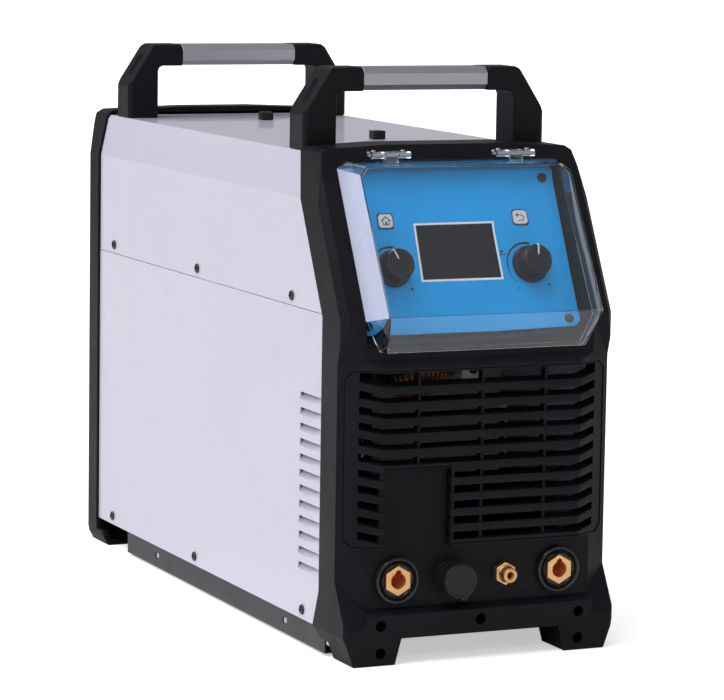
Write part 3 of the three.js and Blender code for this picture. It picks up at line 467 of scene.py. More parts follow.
def plate(loops, low, high, bm=None):
    # Flat plate from an outline and any holes in it, drawn in X and Y
    made = bmesh.new()
    edges = []
    for loop in loops:
        points = [made.verts.new((x, y, low)) for x, y in loop]
        edges += [made.edges.new((points[i - 1], points[i])) for i in range(len(points))]
    fill = bmesh.ops.triangle_fill(made, edges=edges, use_beauty=True)
    faces = [g for g in fill["geom"] if isinstance(g, bmesh.types.BMFace)]
    grown = bmesh.ops.extrude_face_region(made, geom=faces, use_keep_orig=True)
    top = [g for g in grown["geom"] if isinstance(g, bmesh.types.BMVert)]
    bmesh.ops.translate(made, verts=top, vec=(0, 0, high - low))
    bmesh.ops.recalc_face_normals(made, faces=made.faces)
    if bm is None:
        return made
    joinInto(bm, made)
    return bm


def joinInto(bm, other):
    holder = bpy.data.meshes.new("joined")
    other.to_mesh(holder)
    other.free()
    bm.from_mesh(holder)
    bpy.data.meshes.remove(holder)


def turnMesh(bm, angle, axis="Z"):
    bmesh.ops.rotate(bm, verts=bm.verts, cent=(0, 0, 0), matrix=Matrix.Rotation(angle, 3, axis))


def shiftMesh(bm, x, y, z):
    bmesh.ops.translate(bm, verts=bm.verts, vec=(x, y, z))


def block(size, centre):
    bm = bmesh.new()
    bmesh.ops.create_cube(bm, size=1)
    bmesh.ops.scale(bm, verts=bm.verts, vec=size)
    shiftMesh(bm, *centre)
    return bm


def ringPoints(radius, count, x=0.0, y=0.0, start=0.0, end=360.0):
    full = abs(end - start) >= 360
    steps = count if full else count - 1
    angles = [math.radians(start + (end - start) * i / steps) for i in range(count)]
    return [(x + radius * math.cos(a), y + radius * math.sin(a)) for a in angles]


def boxPoints(x0, x1, y0, y1):
    return [(x0, y0), (x1, y0), (x1, y1), (x0, y1)]


def roundedBox(x0, x1, y0, y1, r, steps=6):
    points = []
    corners = ((x1 - r, y1 - r, 0), (x0 + r, y1 - r, 90), (x0 + r, y0 + r, 180), (x1 - r, y0 + r, 270))
    for x, y, angle in corners:
        points += ringPoints(r, steps, x, y, angle, angle + 90)
    return points


def hexPoints(flats, turn=0.0):
    return ringPoints(flats / math.sqrt(3), 6, start=turn, end=turn + 360)


def ringTube(radius, thick, around=64, section=12):
    bm = bmesh.new()
    bmesh.ops.create_circle(bm, cap_ends=False, segments=section, radius=thick)
    turnMesh(bm, math.pi / 2, "X")
    shiftMesh(bm, radius, 0, 0)
    bmesh.ops.spin(
        bm, geom=bm.verts[:] + bm.edges[:], cent=(0, 0, 0), axis=(0, 0, 1), dvec=(0, 0, 0),
        angle=math.tau, steps=around, use_merge=True,
    )
    bmesh.ops.remove_doubles(bm, verts=bm.verts, dist=0.001)
    return bm


def cutBy(bm, cutter):
    # Takes one closed mesh out of another
    pair = []
    for part in (bm, cutter):
        bmesh.ops.recalc_face_normals(part, faces=part.faces)
        mesh = bpy.data.meshes.new("cutting")
        part.to_mesh(mesh)
        part.free()
        obj = bpy.data.objects.new("cutting", mesh)
        bpy.context.scene.collection.objects.link(obj)
        pair.append(obj)
    modifier = pair[0].modifiers.new("cut", "BOOLEAN")
    modifier.object = pair[1]
    modifier.solver = "EXACT"
    graph = bpy.context.evaluated_depsgraph_get()
    result = bpy.data.meshes.new_from_object(pair[0].evaluated_get(graph))
    made = bmesh.new()
    made.from_mesh(result)
    for obj in pair:
        mesh = obj.data
        bpy.data.objects.remove(obj)
        bpy.data.meshes.remove(mesh)
    bpy.data.meshes.remove(result)
    return made


# Carried-over pieces: a merged copy of the node with softened edges
softened = {
    "front_bezel": ("blackMoulding", 0.5, 2),
    "rear_bezel": ("blackMoulding", 1.3, 3),
    "front_grille": ("blackMoulding", 0.3, 2),
    "handle_bracket_front_left": ("blackMoulding", 1.3, 3),
    "handle_bracket_front_right": ("blackMoulding", 1.3, 3),
    "handle_bracket_rear_left": ("blackMoulding", 1.3, 3),
    "handle_bracket_rear_right": ("blackMoulding", 1.3, 3),
    "handle_grip_front": ("satinAluminium", 0.8, 3),
    "handle_grip_rear": ("satinAluminium", 0.8, 3),
    "top_lid": ("caseWhite", 0.7, 3),
    "side_panel_left": ("caseWhite", 0, 0),
    "side_panel_right": ("caseWhite", 0, 0),
    "base_chassis": ("chassisGrey", 0.4, 2),
    "rear_panel": ("chassisGrey", 0.3, 2),
    "control_panel": ("panelBlue", 0.3, 2),
    "clear_cover": ("clearPlastic", 0.45, 2),
    "hinge_base_left": ("clearPlastic", 0.4, 2),
    "hinge_base_right": ("clearPlastic", 0.4, 2),
    "home_button": ("buttonGrey", 0.6, 3),
    "return_button": ("buttonGrey", 0.6, 3),
    "fan_frame": ("blackSatin", 0.6, 2),
    "breaker_body": ("blackSatin", 0.6, 2),
    "breaker_lever": ("lightGrey", 0.5, 2),
    "heat_sink_left": ("satinAluminium", 0.3, 1),
    "heat_sink_right": ("satinAluminium", 0.3, 1),
    "transformer_core": ("coreIron", 0.6, 2),
    "transformer_winding": ("varnishTape", 1.5, 3),
    "current_sensor": ("lightGrey", 0.6, 2),
    "gas_valve": ("turnedBrass", 0.5, 2),
    "cap_strap": ("blackSatin", 0.3, 2),
    "display_module": ("blackSatin", 0.4, 2),
    "control_board": ("circuitGreen", 0.2, 1),
    "power_board": ("circuitGreen", 0.2, 1),
    "ignition_board": ("circuitGreen", 0.2, 1),
    "inner_shelf": ("zincSteel", 0.3, 1),
}


def mergedCopy(node, flatten=True):
    # Joins the corners that faces share, and makes each flat face one piece
    bm = bmesh.new()
    bm.from_mesh(cadNodes[node].data)
    bmesh.ops.remove_doubles(bm, verts=bm.verts, dist=0.00002)
    if flatten:
        bmesh.ops.dissolve_limit(
            bm, angle_limit=math.radians(0.6), verts=bm.verts, edges=bm.edges, use_dissolve_boundaries=False,
        )
    return bm


for nodeName, (finishName, width, segments) in softened.items():
    addPiece(
        nodeName + "_shown", mergedCopy(nodeName, width > 0), finishName, bodyOf[nodeName],
        width, segments, nodeName,
    )
for nodeName in ("encoder_left", "encoder_right", "hinge_pin_left", "hinge_pin_right"):
    cadNodes[nodeName].data.materials.clear()
    cadNodes[nodeName].data.materials.append(materials["zincSteel"])
print("carried-over pieces ready")


# Control panel frame: X across, Y up the slope, Z out of the panel
panelOut = -Vector(joints["home_press"]["axis"]).normalized()
panelUp = panelOut.cross(Vector((1, 0, 0)))
homeAt = Vector(joints["home_press"]["pos_m"])
homeUp = 27.5 * mm
panelOrigin = Vector((0, homeAt.y, homeAt.z)) - panelUp * homeUp
knobPlaces = {
    "left": Vector(joints["left_knob_turn"]["pos_m"]),
    "right": Vector(joints["right_knob_turn"]["pos_m"]),
}


def onPanel(x=0.0, up=0.0, out=0.0):
    origin = panelOrigin + Vector((x * mm, 0, 0)) + panelUp * up * mm + panelOut * out * mm
    return placeAt(origin, (1, 0, 0), panelUp)


def panelCoords(point):
    offset = point - panelOrigin
    return offset.x / mm, offset.dot(panelUp) / mm


knobSettings = {
    "skirtRadius": 17.2, "gripRadius": 15.1, "faceRadius": 12.6, "top": 22.9, "skirtTop": 8.4,
    "flatAt": 13.2, "lineAngle": 82,
}


def makeKnob(name, s):
    x, up = panelCoords(knobPlaces[name])
    bm = turned([
        (0, 3.0), (s["skirtRadius"] - 0.4, 3.0), (s["skirtRadius"], 3.5), (s["skirtRadius"], 7.2),
        (s["skirtRadius"] - 0.9, s["skirtTop"]), (s["gripRadius"] + 0.1, s["skirtTop"] + 0.5),
        (s["gripRadius"], 10), (s["gripRadius"] - 0.5, 19.6), (s["gripRadius"] - 1.2, 21.4),
        (s["gripRadius"] - 2.4, 22.5), (s["faceRadius"] - 1.6, s["top"]),
        (s["faceRadius"] - 2.4, s["top"] - 0.5), (4, s["top"] - 0.8), (0, s["top"] - 0.8),
    ], 96)
    # Three flats round the grip
    for i in range(3):
        cutter = block((8, 44, 30), (s["flatAt"] + 4, 0, s["skirtTop"] + 16.2))
        turnMesh(cutter, math.radians(120 * i))
        bm = cutBy(bm, cutter)
    body = "knob_" + name
    finishPiece(body + "_shown", bm, onPanel(x, up), "blackSatin", body, 0.35, node=body)
    line = plate([boxPoints(4.4, s["gripRadius"] - 1.6, -0.55, 0.55)], s["top"] - 0.75, s["top"] + 0.06)
    drop = plate([boxPoints(s["gripRadius"] - 2.2, s["gripRadius"] - 0.15, -0.55, 0.55)], 12, s["top"] - 1.2)
    joinInto(line, drop)
    turnMesh(line, math.radians(s["lineAngle"]))
    finishPiece(body + "_line", line, onPanel(x, up), "printWhite", body, 0.1, 1)


makeKnob("left", dict(knobSettings, lineAngle=113))
makeKnob("right", knobSettings)


dialSettings = {"outer": 22.2, "thick": 2.4, "thin": 0.5, "start": 78, "end": 225, "ink": 2.02, "top": 2.12}


def makeDialPrint(name, s):
    x, up = panelCoords(knobPlaces[name])
    bm = bmesh.new()
    count = 40
    outer = ringPoints(s["outer"], count, 0, 0, s["start"], s["end"])
    inner = []
    for i in range(count):
        share = i / (count - 1)
        a = math.radians(s["start"] + (s["end"] - s["start"]) * share)
        r = s["outer"] - s["thick"] + (s["thick"] - s["thin"]) * share
        inner.append((r * math.cos(a), r * math.sin(a)))
    plate([outer + inner[::-1]], s["ink"], s["top"], bm)
    # Dashes and dots round the arc
    marks = (
        boxPoints(-15.6, -12.6, -21.8, -21.0), boxPoints(-28.5, -21.5, 10.2, 11.0),
        ringPoints(1.3, 20, -25, 13.4), ringPoints(1.3, 20, 13.8, 16.8),
        boxPoints(14.4, 18.4, 13.2, 13.9), ringPoints(1.4, 20, 17.2, -19),
    )
    for mark in marks:
        plate([mark], s["ink"], s["top"], bm)
    finishPiece("dial_print_" + name, bm, onPanel(x, up), "printDark", "machine")


makeDialPrint("left", dialSettings)
makeDialPrint("right", dialSettings)


screenSettings = {
    "half": (39.8, 26.2), "lift": -3.0, "border": 1.5, "lap": 0.4, "glassInset": 0.5,
    "ink": (2.02, 2.16), "glass": (1.72, 2.06),
}


def makeScreen(s):
    w, h = s["half"]
    b, lap, inset = s["border"], s["lap"], s["glassInset"]
    y0, y1 = s["lift"] - h, s["lift"] + h
    outside = boxPoints(-w - b, w + b, y0 - b, y1 + b)
    inside = boxPoints(-w + lap, w - lap, y0 + lap, y1 - lap)
    border = plate([outside, inside], *s["ink"])
    finishPiece("screen_border", border, onPanel(), "printWhite", "machine")
    glass = plate([boxPoints(-w + inset, w - inset, y0 + inset, y1 - inset)], *s["glass"])
    finishPiece("screen_glass", glass, onPanel(), "screenGlass", "machine")


makeScreen(screenSettings)


buttonArt = {"half": (7.6, 7.1), "border": 0.7, "surround": (2.02, 2.12), "top": 3.4, "ink": 0.1}


def houseSign():
    roof = [(-5, 0.2), (0, 4.6), (5, 0.2), (4.3, -0.5), (0, 3.3), (-4.3, -0.5)]
    wall = [
        (-3.4, 0.6), (-3.4, -4), (3.4, -4), (3.4, 0.6), (2.7, 1.1), (2.7, -3.3), (-2.7, -3.3), (-2.7, 1.1),
    ]
    door = boxPoints(-0.9, 0.9, -3.3, -0.6)
    return roof, wall, door


def returnSign():
    bend = ringPoints(3.0, 24, 0.6, -0.6, 90, -90) + ringPoints(2.2, 24, 0.6, -0.6, -90, 90)
    upper = boxPoints(-3.6, 0.7, 1.6, 2.4)
    lower = boxPoints(-2.6, 0.7, -3.6, -2.8)
    point = [(-4.8, 2.0), (-2.2, 4.2), (-2.2, -0.2)]
    return bend, upper, lower, point


def makeButtonArt(name, joint, sign, s):
    x, up = panelCoords(Vector(joints[joint]["pos_m"]))
    place = onPanel(x, up)
    w, h = s["half"]
    b = s["border"]
    outside = roundedBox(-w - b, w + b, -h - b, h + b, 3)
    ring = plate([outside, roundedBox(-w, w, -h, h, 2.4)], *s["surround"])
    finishPiece(name + "_surround", ring, place, "printDark", "machine")
    bm = bmesh.new()
    for shape in sign:
        plate([shape], s["top"] + 0.01, s["top"] + s["ink"], bm)
    finishPiece(name + "_icon", bm, place, "printDark", name)


makeButtonArt("home_button", "home_press", houseSign(), buttonArt)
makeButtonArt("return_button", "return_press", returnSign(), buttonArt)


# Screws
screwSettings = {"radius": 4.7, "high": 2.4, "recess": 2.6, "slot": 0.75}


def screwHead(s):
    r, h = s["radius"], s["high"]
    bm = turned([
        (0, -0.2), (r - 0.3, -0.2), (r, 0.1), (r, h * 0.35), (r * 0.9, h * 0.68), (r * 0.68, h * 0.9),
        (r * 0.35, h), (0, h),
    ], 36)
    for turn in (0, 90):
        cutter = block((2 * s["recess"], 2 * s["slot"], 3), (0, 0, h + 0.1))
        turnMesh(cutter, math.radians(turn))
        bm = cutBy(bm, cutter)
    return bm


# Each row's height, and the places along it
sideScrews = {
    "upper": (318.7, (273.6, 39.4, -195.8)),
    "lower": (34.1, (273.6, 39.5, -229.1)),
}


def makeSideScrews():
    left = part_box("side_panel_left")[0].x
    for side, wall in ((-1, left), (1, -left)):
        for row, (z, spots) in sideScrews.items():
            for i, y in enumerate(spots):
                name = "case_screw_%s_%s_%d" % ("left" if side < 0 else "right", row, i + 1)
                spot = facingSide(side, wall, y * mm, z * mm)
                finishPiece(name, screwHead(screwSettings), spot, "blackScrew", "machine")


panelScrews = {"across": 98.6, "upper": 65.0, "lower": -70.5, "out": 2.1}


def makePanelScrews(s):
    small = dict(screwSettings, radius=4.5, high=2.9, recess=2.5, slot=0.7)
    for side, x in (("left", -s["across"]), ("right", s["across"])):
        for row in ("upper", "lower"):
            name = "panel_screw_%s_%s" % (row, side)
            spot = onPanel(x, s[row], s["out"])
            finishPiece(name, screwHead(small), spot, "blackScrew", "machine")


makeSideScrews()
makePanelScrews(panelScrews)
print("panel and screws ready")


# Front fittings
socketSettings = {"ring": 21.1, "hex": 23.8, "bore": 7.0, "key": 2.6, "keyTop": 9.8, "proud": 5.6, "deep": 30}


def socketPanelFace():
    # The flat face that the sockets' rings stand out from
    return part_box("socket_insulator_negative")[0].y + socketSettings["proud"] * mm


def keyholePoints(s):
    half = math.degrees(math.asin(s["key"] / s["bore"]))
    around = ringPoints(s["bore"], 40, 0, 0, 90 + half, 450 - half)
    cap = ringPoints(s["key"], 10, 0, s["keyTop"] - s["key"], 0, 180)
    return around + cap


def makeSocket(name, s):
    ring, insert = "socket_insulator_" + name, "socket_insert_" + name
    x, z = acrossAndUp(ring)
    place = facingFront(x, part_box(ring)[0].y, z)
    r = s["ring"]
    bm = turned([
        (14.4, -26), (14.4, -4.4), (15.4, -4.2), (16.6, -3.4), (17.5, -2.1), (18.1, -0.7), (18.6, -0.1),
        (19.3, 0), (20.2, -0.1), (20.9, -0.6), (r, -1.4), (r, -5.3), (15, -5.3), (15, -26), (14.4, -26),
    ], 96)
    finishPiece(ring + "_shown", bm, place, "blackGloss", "machine", node=ring)
    bed = turned([(0, -9), (14.3, -9), (14.3, -3.4), (12, -3.4), (0, -3.4)], 64)
    bed = cutBy(bed, plate([hexPoints(s["hex"] + 0.4, 30)], -12, 2))
    finishPiece(ring + "_bed", bed, place, "blackGloss", "machine")
    body = plate([hexPoints(s["hex"], 30), keyholePoints(s)], -s["deep"], 0.75)
    finishPiece(insert + "_shown", body, place, "turnedBrass", "machine", 0.55, node=insert)
    outer, inner = s["bore"] + 0.15, s["bore"] - 0.12
    liner = turned([(outer, -22), (inner, -22), (inner, -1.2), (outer, -1.2), (outer, -22)], 64)
    keySlot = plate([boxPoints(-s["key"] - 0.05, s["key"] + 0.05, 3, s["keyTop"] + 2)], -40, 6)
    finishPiece(insert + "_bore", cutBy(liner, keySlot), place, "boreBrass", "machine")
    floor = turned([(0, -23), (s["bore"] + 0.1, -23), (s["bore"] + 0.1, -20.5), (3, -20.1), (0, -19.8)], 48)
    finishPiece(insert + "_floor", floor, place, "boreBrass", "machine")


makeSocket("negative", socketSettings)
makeSocket("positive", socketSettings)


markSettings = {
    "minus": -47.0, "plus": 53.4, "up": 57, "outer": 5.2, "inner": 4.6, "arm": 2.7, "half": 0.45,
    "thick": (-0.1, 0.35),
}


def makePolarityMarks(s):
    arm, half = s["arm"], s["half"]
    clear = half + 0.02
    for name in ("minus", "plus"):
        bm = plate([ringPoints(s["outer"], 48), ringPoints(s["inner"], 48)], *s["thick"])
        bars = [boxPoints(-arm, arm, -half, half)]
        if name == "plus":
            bars += [boxPoints(-half, half, clear, arm), boxPoints(-half, half, -arm, -clear)]
        for bar in bars:
            plate([bar], *s["thick"], bm)
        spot = facingFront(s[name] * mm, socketPanelFace(), s["up"] * mm)
        finishPiece("mark_" + name, bm, spot, "blackMoulding", "machine")


makePolarityMarks(markSettings)


def makeGasOutlet():
    x, z = acrossAndUp("gas_outlet")
    place = facingFront(x, socketPanelFace(), z)
    nut = plate([hexPoints(19.0, 30), ringPoints(2.4, 32)], 0.3, 8.2)
    finishPiece("gas_outlet_nut", nut, place, "turnedBrass", "machine", 1.0, 3)
    nose = turned([
        (2.4, 8), (2.4, 15.4), (3.6, 17.6), (4.6, 18), (5.6, 17.9), (6.6, 17.2), (7.1, 16), (7.1, 9.6),
        (7.6, 8.6), (8.4, 8.1), (2.4, 8),
    ], 64)
    finishPiece("gas_outlet_nose", nose, place, "turnedBrass", "machine", node="gas_outlet")
    tail = turned([(0, -20), (6.5, -20), (6.5, 0.4), (0, 0.4)], 32)
    finishPiece("gas_outlet_tail", tail, place, "turnedBrass", "machine")


makeGasOutlet()


def connectorPlace():
    x, z = acrossAndUp("connector_cap")
    return facingFront(x, socketPanelFace(), z)


def makeConnectorCap(ribCount):
    place = connectorPlace()
    cap = turned([
        (13.1, 4.6), (13.1, 17), (0, 17), (0, 20.2), (12.9, 20.2), (13.5, 20.7), (14.6, 20.95), (15.5, 20.5),
        (16.0, 19.6), (16.3, 16), (16.3, 10.2), (16.8, 9.4), (16.8, 5.2), (16.3, 4.6), (13.1, 4.6),
    ], 96)
    finishPiece("connector_cap_shown", cap, place, "blackSatin", "cap", node="connector_cap")
    ribs = bmesh.new()
    for i in range(ribCount):
        rib = plate([boxPoints(16.1, 16.75, -0.45, 0.45)], 10.6, 19)
        turnMesh(rib, math.tau * i / ribCount)
        joinInto(ribs, rib)
    finishPiece("connector_cap_ribs", ribs, place, "blackSatin", "cap")


def makeConnector(pinCount, pinCircle):
    place = connectorPlace()
    shell = turned([
        (10.6, 4), (10.6, 12.4), (11.2, 13), (12.2, 13), (12.6, 12.4), (12.6, 2.7), (15.6, 2.7), (16.2, 2.2),
        (16.2, 0.4), (12.6, 0.4), (12.6, -20), (0, -20), (0, 4), (10.6, 4),
    ], 72)
    finishPiece(
        "remote_connector_shown", shell, place, "zincSteel", "machine",
        node="remote_connector",
    )
    pins = bmesh.new()
    for i in range(pinCount):
        a = math.tau * i / pinCount
        pin = turned([(0, 3), (1, 3), (1, 10.4), (0.6, 11), (0, 11)], 16)
        shiftMesh(pin, pinCircle * math.cos(a), pinCircle * math.sin(a), 0)
        joinInto(pins, pin)
    finishPiece("remote_connector_pins", pins, place, "turnedBrass", "machine")


def makeStrapScrew(proud):
    centre = centreOf("strap_screw")
    small = dict(screwSettings, radius=4.0, high=2.7, recess=2.3, slot=0.6)
    spot = facingFront(centre.x, socketPanelFace() - proud * mm, centre.z)
    finishPiece(
        "strap_screw_shown", screwHead(small), spot, "blackScrew", "machine",
        node="strap_screw",
    )


makeConnectorCap(ribCount=48)
makeConnector(pinCount=7, pinCircle=6.4)
makeStrapScrew(proud=4.2)
print("front fittings ready")


# Cover: a pale film over the outside of its left wall, a painted reflection of the bright studio that this wall
# shows at a grazing view, in metres
paintedReflectionSettings = {"facing": 0.94, "wallBefore": -0.09, "clear": 0.0001, "thick": 0.00015}


def makePaintedReflectionFilm(s):
    bm = mergedCopy("clear_cover")
    bm.normal_update()
    others = [
        f for f in bm.faces if f.normal.x > -s["facing"] or f.calc_center_median().x > s["wallBefore"]
    ]
    bmesh.ops.delete(bm, geom=others, context="FACES")
    outward = Vector((-1, 0, 0))
    bmesh.ops.translate(bm, verts=bm.verts, vec=outward * s["clear"])
    grown = bmesh.ops.extrude_face_region(bm, geom=bm.faces[:], use_keep_orig=True)
    lifted = [g for g in grown["geom"] if isinstance(g, bmesh.types.BMVert)]
    bmesh.ops.translate(bm, verts=lifted, vec=outward * s["thick"])
    # The film is a painted reflection laid on the cover's left wall
    finishPiece("cover_painted_reflection", bm, Matrix.Identity(4), "paintedReflectionFilm", "cover")


makePaintedReflectionFilm(paintedReflectionSettings)


# Hinges
def makeHingeScrews():
    for side in ("left", "right"):
        low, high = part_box("hinge_base_" + side)
        y = low.y * 0.35 + high.y * 0.65
        for i, x in enumerate((low.x + 4.5 * mm, high.x - 4.5 * mm)):
            small = dict(screwSettings, radius=2.4, high=1.4, recess=1.3, slot=0.4)
            name = "hinge_screw_%s_%d" % (side, i + 1)
            spot = facingUp(x, y, high.z - 0.1 * mm)
            finishPiece(name, screwHead(small), spot, "zincSteel", "machine")


makeHingeScrews()


# Lid studs
studSettings = {"half": 6.3, "high": 8.3, "corner": 1.6}


def makeStuds(s):
    for end in ("front", "rear"):
        node = "lid_stud_" + end
        low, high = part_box(node)
        x, y = (low.x + high.x) / 2, (low.y + high.y) / 2
        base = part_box("top_lid")[1].z
        h = s["half"]
        bm = plate([roundedBox(-h, h, -h, h, s["corner"]), ringPoints(2.6, 24)], 0.3, s["high"])
        place = facingUp(x, y, base)
        finishPiece(node + "_shown", bm, place, "blackSatin", "machine", 0.7, 3, node)
        plug = turned([(0, 0.3), (2.55, 0.3), (2.55, s["high"] - 1.2), (0, s["high"] - 1.2)], 24)
        finishPiece(node + "_plug", plug, place, "blackScrew", "machine")


makeStuds(studSettings)


# Ring coils. The ignition coil shows through the grille.
coils = {
    "ignition_coil": {"axis": (0, 0.48, 0.88), "turns": 34, "wire": 1.25, "ring": 21, "core": 7.6},
    "output_choke": {"axis": (1, 0, 0), "turns": 30, "wire": 2.2, "ring": 34, "core": 11.6},
}


def coilPlace(node, axis):
    z = Vector(axis).normalized()
    x = Vector((1, 0, 0)) if abs(z.x) < 0.9 else Vector((0, 1, 0))
    y = z.cross(x).normalized()
    return placeAt(centreOf(node), y.cross(z), y)


def makeCoil(node, s):
    place = coilPlace(node, s["axis"])
    bm = bmesh.new()
    for i in range(s["turns"]):
        loop = ringTube(s["core"], s["wire"], 20, 8)
        turnMesh(loop, math.pi / 2, "X")
        shiftMesh(loop, s["ring"], 0, 0)
        turnMesh(loop, math.tau * i / s["turns"])
        joinInto(bm, loop)
    finishPiece(node + "_turns", bm, place, "copperWire", "machine", node=node)
    core = ringTube(s["ring"], s["core"] - s["wire"] * 0.9, 48, 16)
    finishPiece(node + "_core", core, place, "coreIron", "machine")


for coilNode, coil in coils.items():
    makeCoil(coilNode, coil)


def makeCapacitors():
    for i in (1, 2):
        node = "bus_capacitor_%d" % i
        low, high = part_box(node)
        centre = (low + high) / 2
        tall = (high.z - low.z) / mm
        bm = turned([
            (0, 0), (30.2, 0), (30.9, 0.8), (30.9, tall - 6), (30.2, tall - 5), (30.6, tall - 3.4),
            (30.4, tall - 1), (29.6, tall - 0.6), (28.4, tall - 1.6), (0, tall - 1.6),
        ], 64)
        place = facingUp(centre.x, centre.y, low.z)
        finishPiece(node + "_shown", bm, place, "sleeveBlue", "machine", node=node)
        for side in (-1, 1):
            stud = turned([(0, tall - 2), (4.5, tall - 2), (4.5, tall - 0.1), (0, tall - 0.1)], 24)
            shiftMesh(stud, side * 12, 0, 0)
            name = "%s_terminal_%s" % (node, "a" if side < 0 else "b")
            finishPiece(name, stud, place, "zincSteel", "machine")


makeCapacitors()


# Back of the machine
fanSettings = {"blades": 7, "hub": 30.8, "tip": 86.2, "pitch": 34, "chord": 34, "thick": 1.8}


def makeRotor(s):
    spot = Vector(joints["rotor_spin"]["pos_m"])
    place = facingRear(spot.x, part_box("fan_rotor")[1].y, spot.z)
    hub = turned([
        (4.5, -26.6), (s["hub"] - 1, -26.6), (s["hub"], -25.6), (s["hub"], -2.4), (s["hub"] - 2.4, -0.2),
        (0, -0.2), (0, -4), (4.5, -4), (4.5, -26.6),
    ], 72)
    finishPiece("fan_rotor_hub", hub, place, "blackSatin", "rotor", node="fan_rotor")
    blades = bmesh.new()
    for i in range(s["blades"]):
        blade = bmesh.new()
        bmesh.ops.create_grid(blade, x_segments=10, y_segments=8, size=0.5)
        bmesh.ops.scale(blade, verts=blade.verts, vec=(s["tip"] - s["hub"] + 3, s["chord"], 1))
        shiftMesh(blade, (s["tip"] + s["hub"] - 3) / 2, 0, 0)
        # The blade twists and widens from the hub to the tip, and is hollow on one face
        for v in blade.verts:
            share = (v.co.x - s["hub"]) / (s["tip"] - s["hub"])
            twist = math.radians(s["pitch"] + 12 - 20 * share)
            width = v.co.y * (0.85 + 0.25 * share)
            camber = 2.2 * (1 - (v.co.y / (s["chord"] / 2)) ** 2)
            v.co.y = width * math.cos(twist) - camber * math.sin(twist)
            v.co.z = width * math.sin(twist) * 0.92 + camber * math.cos(twist) - 13.5
        bmesh.ops.solidify(blade, geom=blade.faces[:], thickness=s["thick"])
        turnMesh(blade, math.tau * i / s["blades"])
        joinInto(blades, blade)
    finishPiece("fan_rotor_blades", blades, place, "blackSatin", "rotor")


makeRotor(fanSettings)


guardSettings = {"rings": (90, 78, 66, 54, 42, 30), "wire": 1.25, "fixing": 101, "behind": 2.6}


def makeGuard(s):
    low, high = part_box("fan_guard")
    centre = (low + high) / 2
    place = facingRear(centre.x, high.y - s["behind"] * mm, centre.z)
    bm = bmesh.new()
    for radius in s["rings"]:
        joinInto(bm, ringTube(radius, s["wire"], 72, 10))
    for i in range(4):
        arm = turned([(0, 12), (1.2, 12), (1.2, 99), (0, 99)], 10)
        turnMesh(arm, math.pi / 2, "X")
        shiftMesh(arm, 0, 0, -2.0)
        turnMesh(arm, math.pi / 4 + i * math.pi / 2)
        joinInto(bm, arm)
        foot = turned([(2.6, -4.3), (4.4, -4.3), (4.4, 0.6), (3.8, 1.2), (2.6, 1.2), (2.6, -4.3)], 28)
        shiftMesh(foot, s["fixing"], 0, 0)
        turnMesh(foot, math.pi / 4 + i * math.pi / 2)
        joinInto(bm, foot)
    joinInto(bm, turned([(0, -1), (14, -1), (14.4, 0), (14, 0.8), (0, 0.8)], 40))
    finishPiece("fan_guard_shown", bm, place, "zincSteel", "machine", node="fan_guard")


makeGuard(guardSettings)


def rearPlace(node):
    x, z = acrossAndUp(node)
    return facingRear(x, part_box("rear_panel")[1].y, z)


def makeCableGland():
    place = rearPlace("cable_gland")
    nut = plate([hexPoints(31.8), ringPoints(8, 40)], 0.3, 5.4)
    finishPiece("cable_gland_nut", nut, place, "blackSatin", "machine", 0.8, 3, "cable_gland")
    dome = turned([
        (8, -14), (8, 9.2), (9, 10.1), (10.6, 10), (12.8, 9), (13.8, 7), (14, 5.2), (12, 5.2), (12, -14),
        (8, -14),
    ], 56)
    finishPiece("cable_gland_dome", dome, place, "blackSatin", "machine")


def makeGasInlet():
    place = rearPlace("gas_inlet")
    nut = plate([hexPoints(16.8), ringPoints(1.8, 20)], 0.3, 4.9)
    finishPiece("gas_inlet_nut", nut, place, "turnedBrass", "machine", 0.5, node="gas_inlet")
    barb = turned([
        (1.8, -20), (1.8, 9.9), (3.2, 10.2), (4.5, 7.9), (3.6, 7.7), (4.6, 5.9), (4.6, 4.6), (6, 4.6),
        (6, -20), (1.8, -20),
    ], 40)
    finishPiece("gas_inlet_barb", barb, place, "turnedBrass", "machine")


def makeEarthStud():
    place = rearPlace("earth_stud")
    washer = turned([(4.2, 0.3), (9, 0.3), (9, 1.7), (8.6, 1.9), (4.2, 1.9), (4.2, 0.3)], 48)
    finishPiece("earth_stud_washer", washer, place, "zincSteel", "machine", node="earth_stud")
    nut = plate([hexPoints(12.8), ringPoints(4.05, 28)], 2, 7)
    finishPiece("earth_stud_nut", nut, place, "turnedBrass", "machine", 0.4)
    # Rings 1 mm apart stand for the thread
    profile = [(0, -12), (3.4, -12)]
    for i in range(21):
        profile += [(3.9, -11 + i), (3.45, -10.5 + i)]
    profile += [(3.2, 9.9), (0, 9.9)]
    finishPiece("earth_stud_thread", turned(profile, 32), place, "turnedBrass", "machine")


rearScrews = {"across": 106, "heights": (48, 150, 270, 400)}
rearScrewHead = dict(screwSettings, radius=3.6, high=2.4, recess=2.0, slot=0.55)


def makeRearScrews(s):
    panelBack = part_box("rear_panel")[1].y
    for side, x in (("left", -s["across"]), ("right", s["across"])):
        for z in s["heights"]:
            name = "rear_screw_%s_%d" % (side, z)
            spot = facingRear(x * mm, panelBack, z * mm)
            finishPiece(name, screwHead(rearScrewHead), spot, "blackScrew", "machine")


def makeBreakerScrews(across):
    low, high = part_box("breaker_body")
    centre = (low + high) / 2
    small = dict(rearScrewHead, radius=2.8, recess=1.5)
    for i, side in enumerate((-1, 1)):
        spot = facingRear(centre.x + side * across * mm, high.y, centre.z)
        name = "breaker_screw_%d" % (i + 1)
        finishPiece(name, screwHead(small), spot, "zincSteel", "machine")


makeCableGland()
makeGasInlet()
makeEarthStud()
makeRearScrews(rearScrews)
makeBreakerScrews(across=25)
print("back ready")


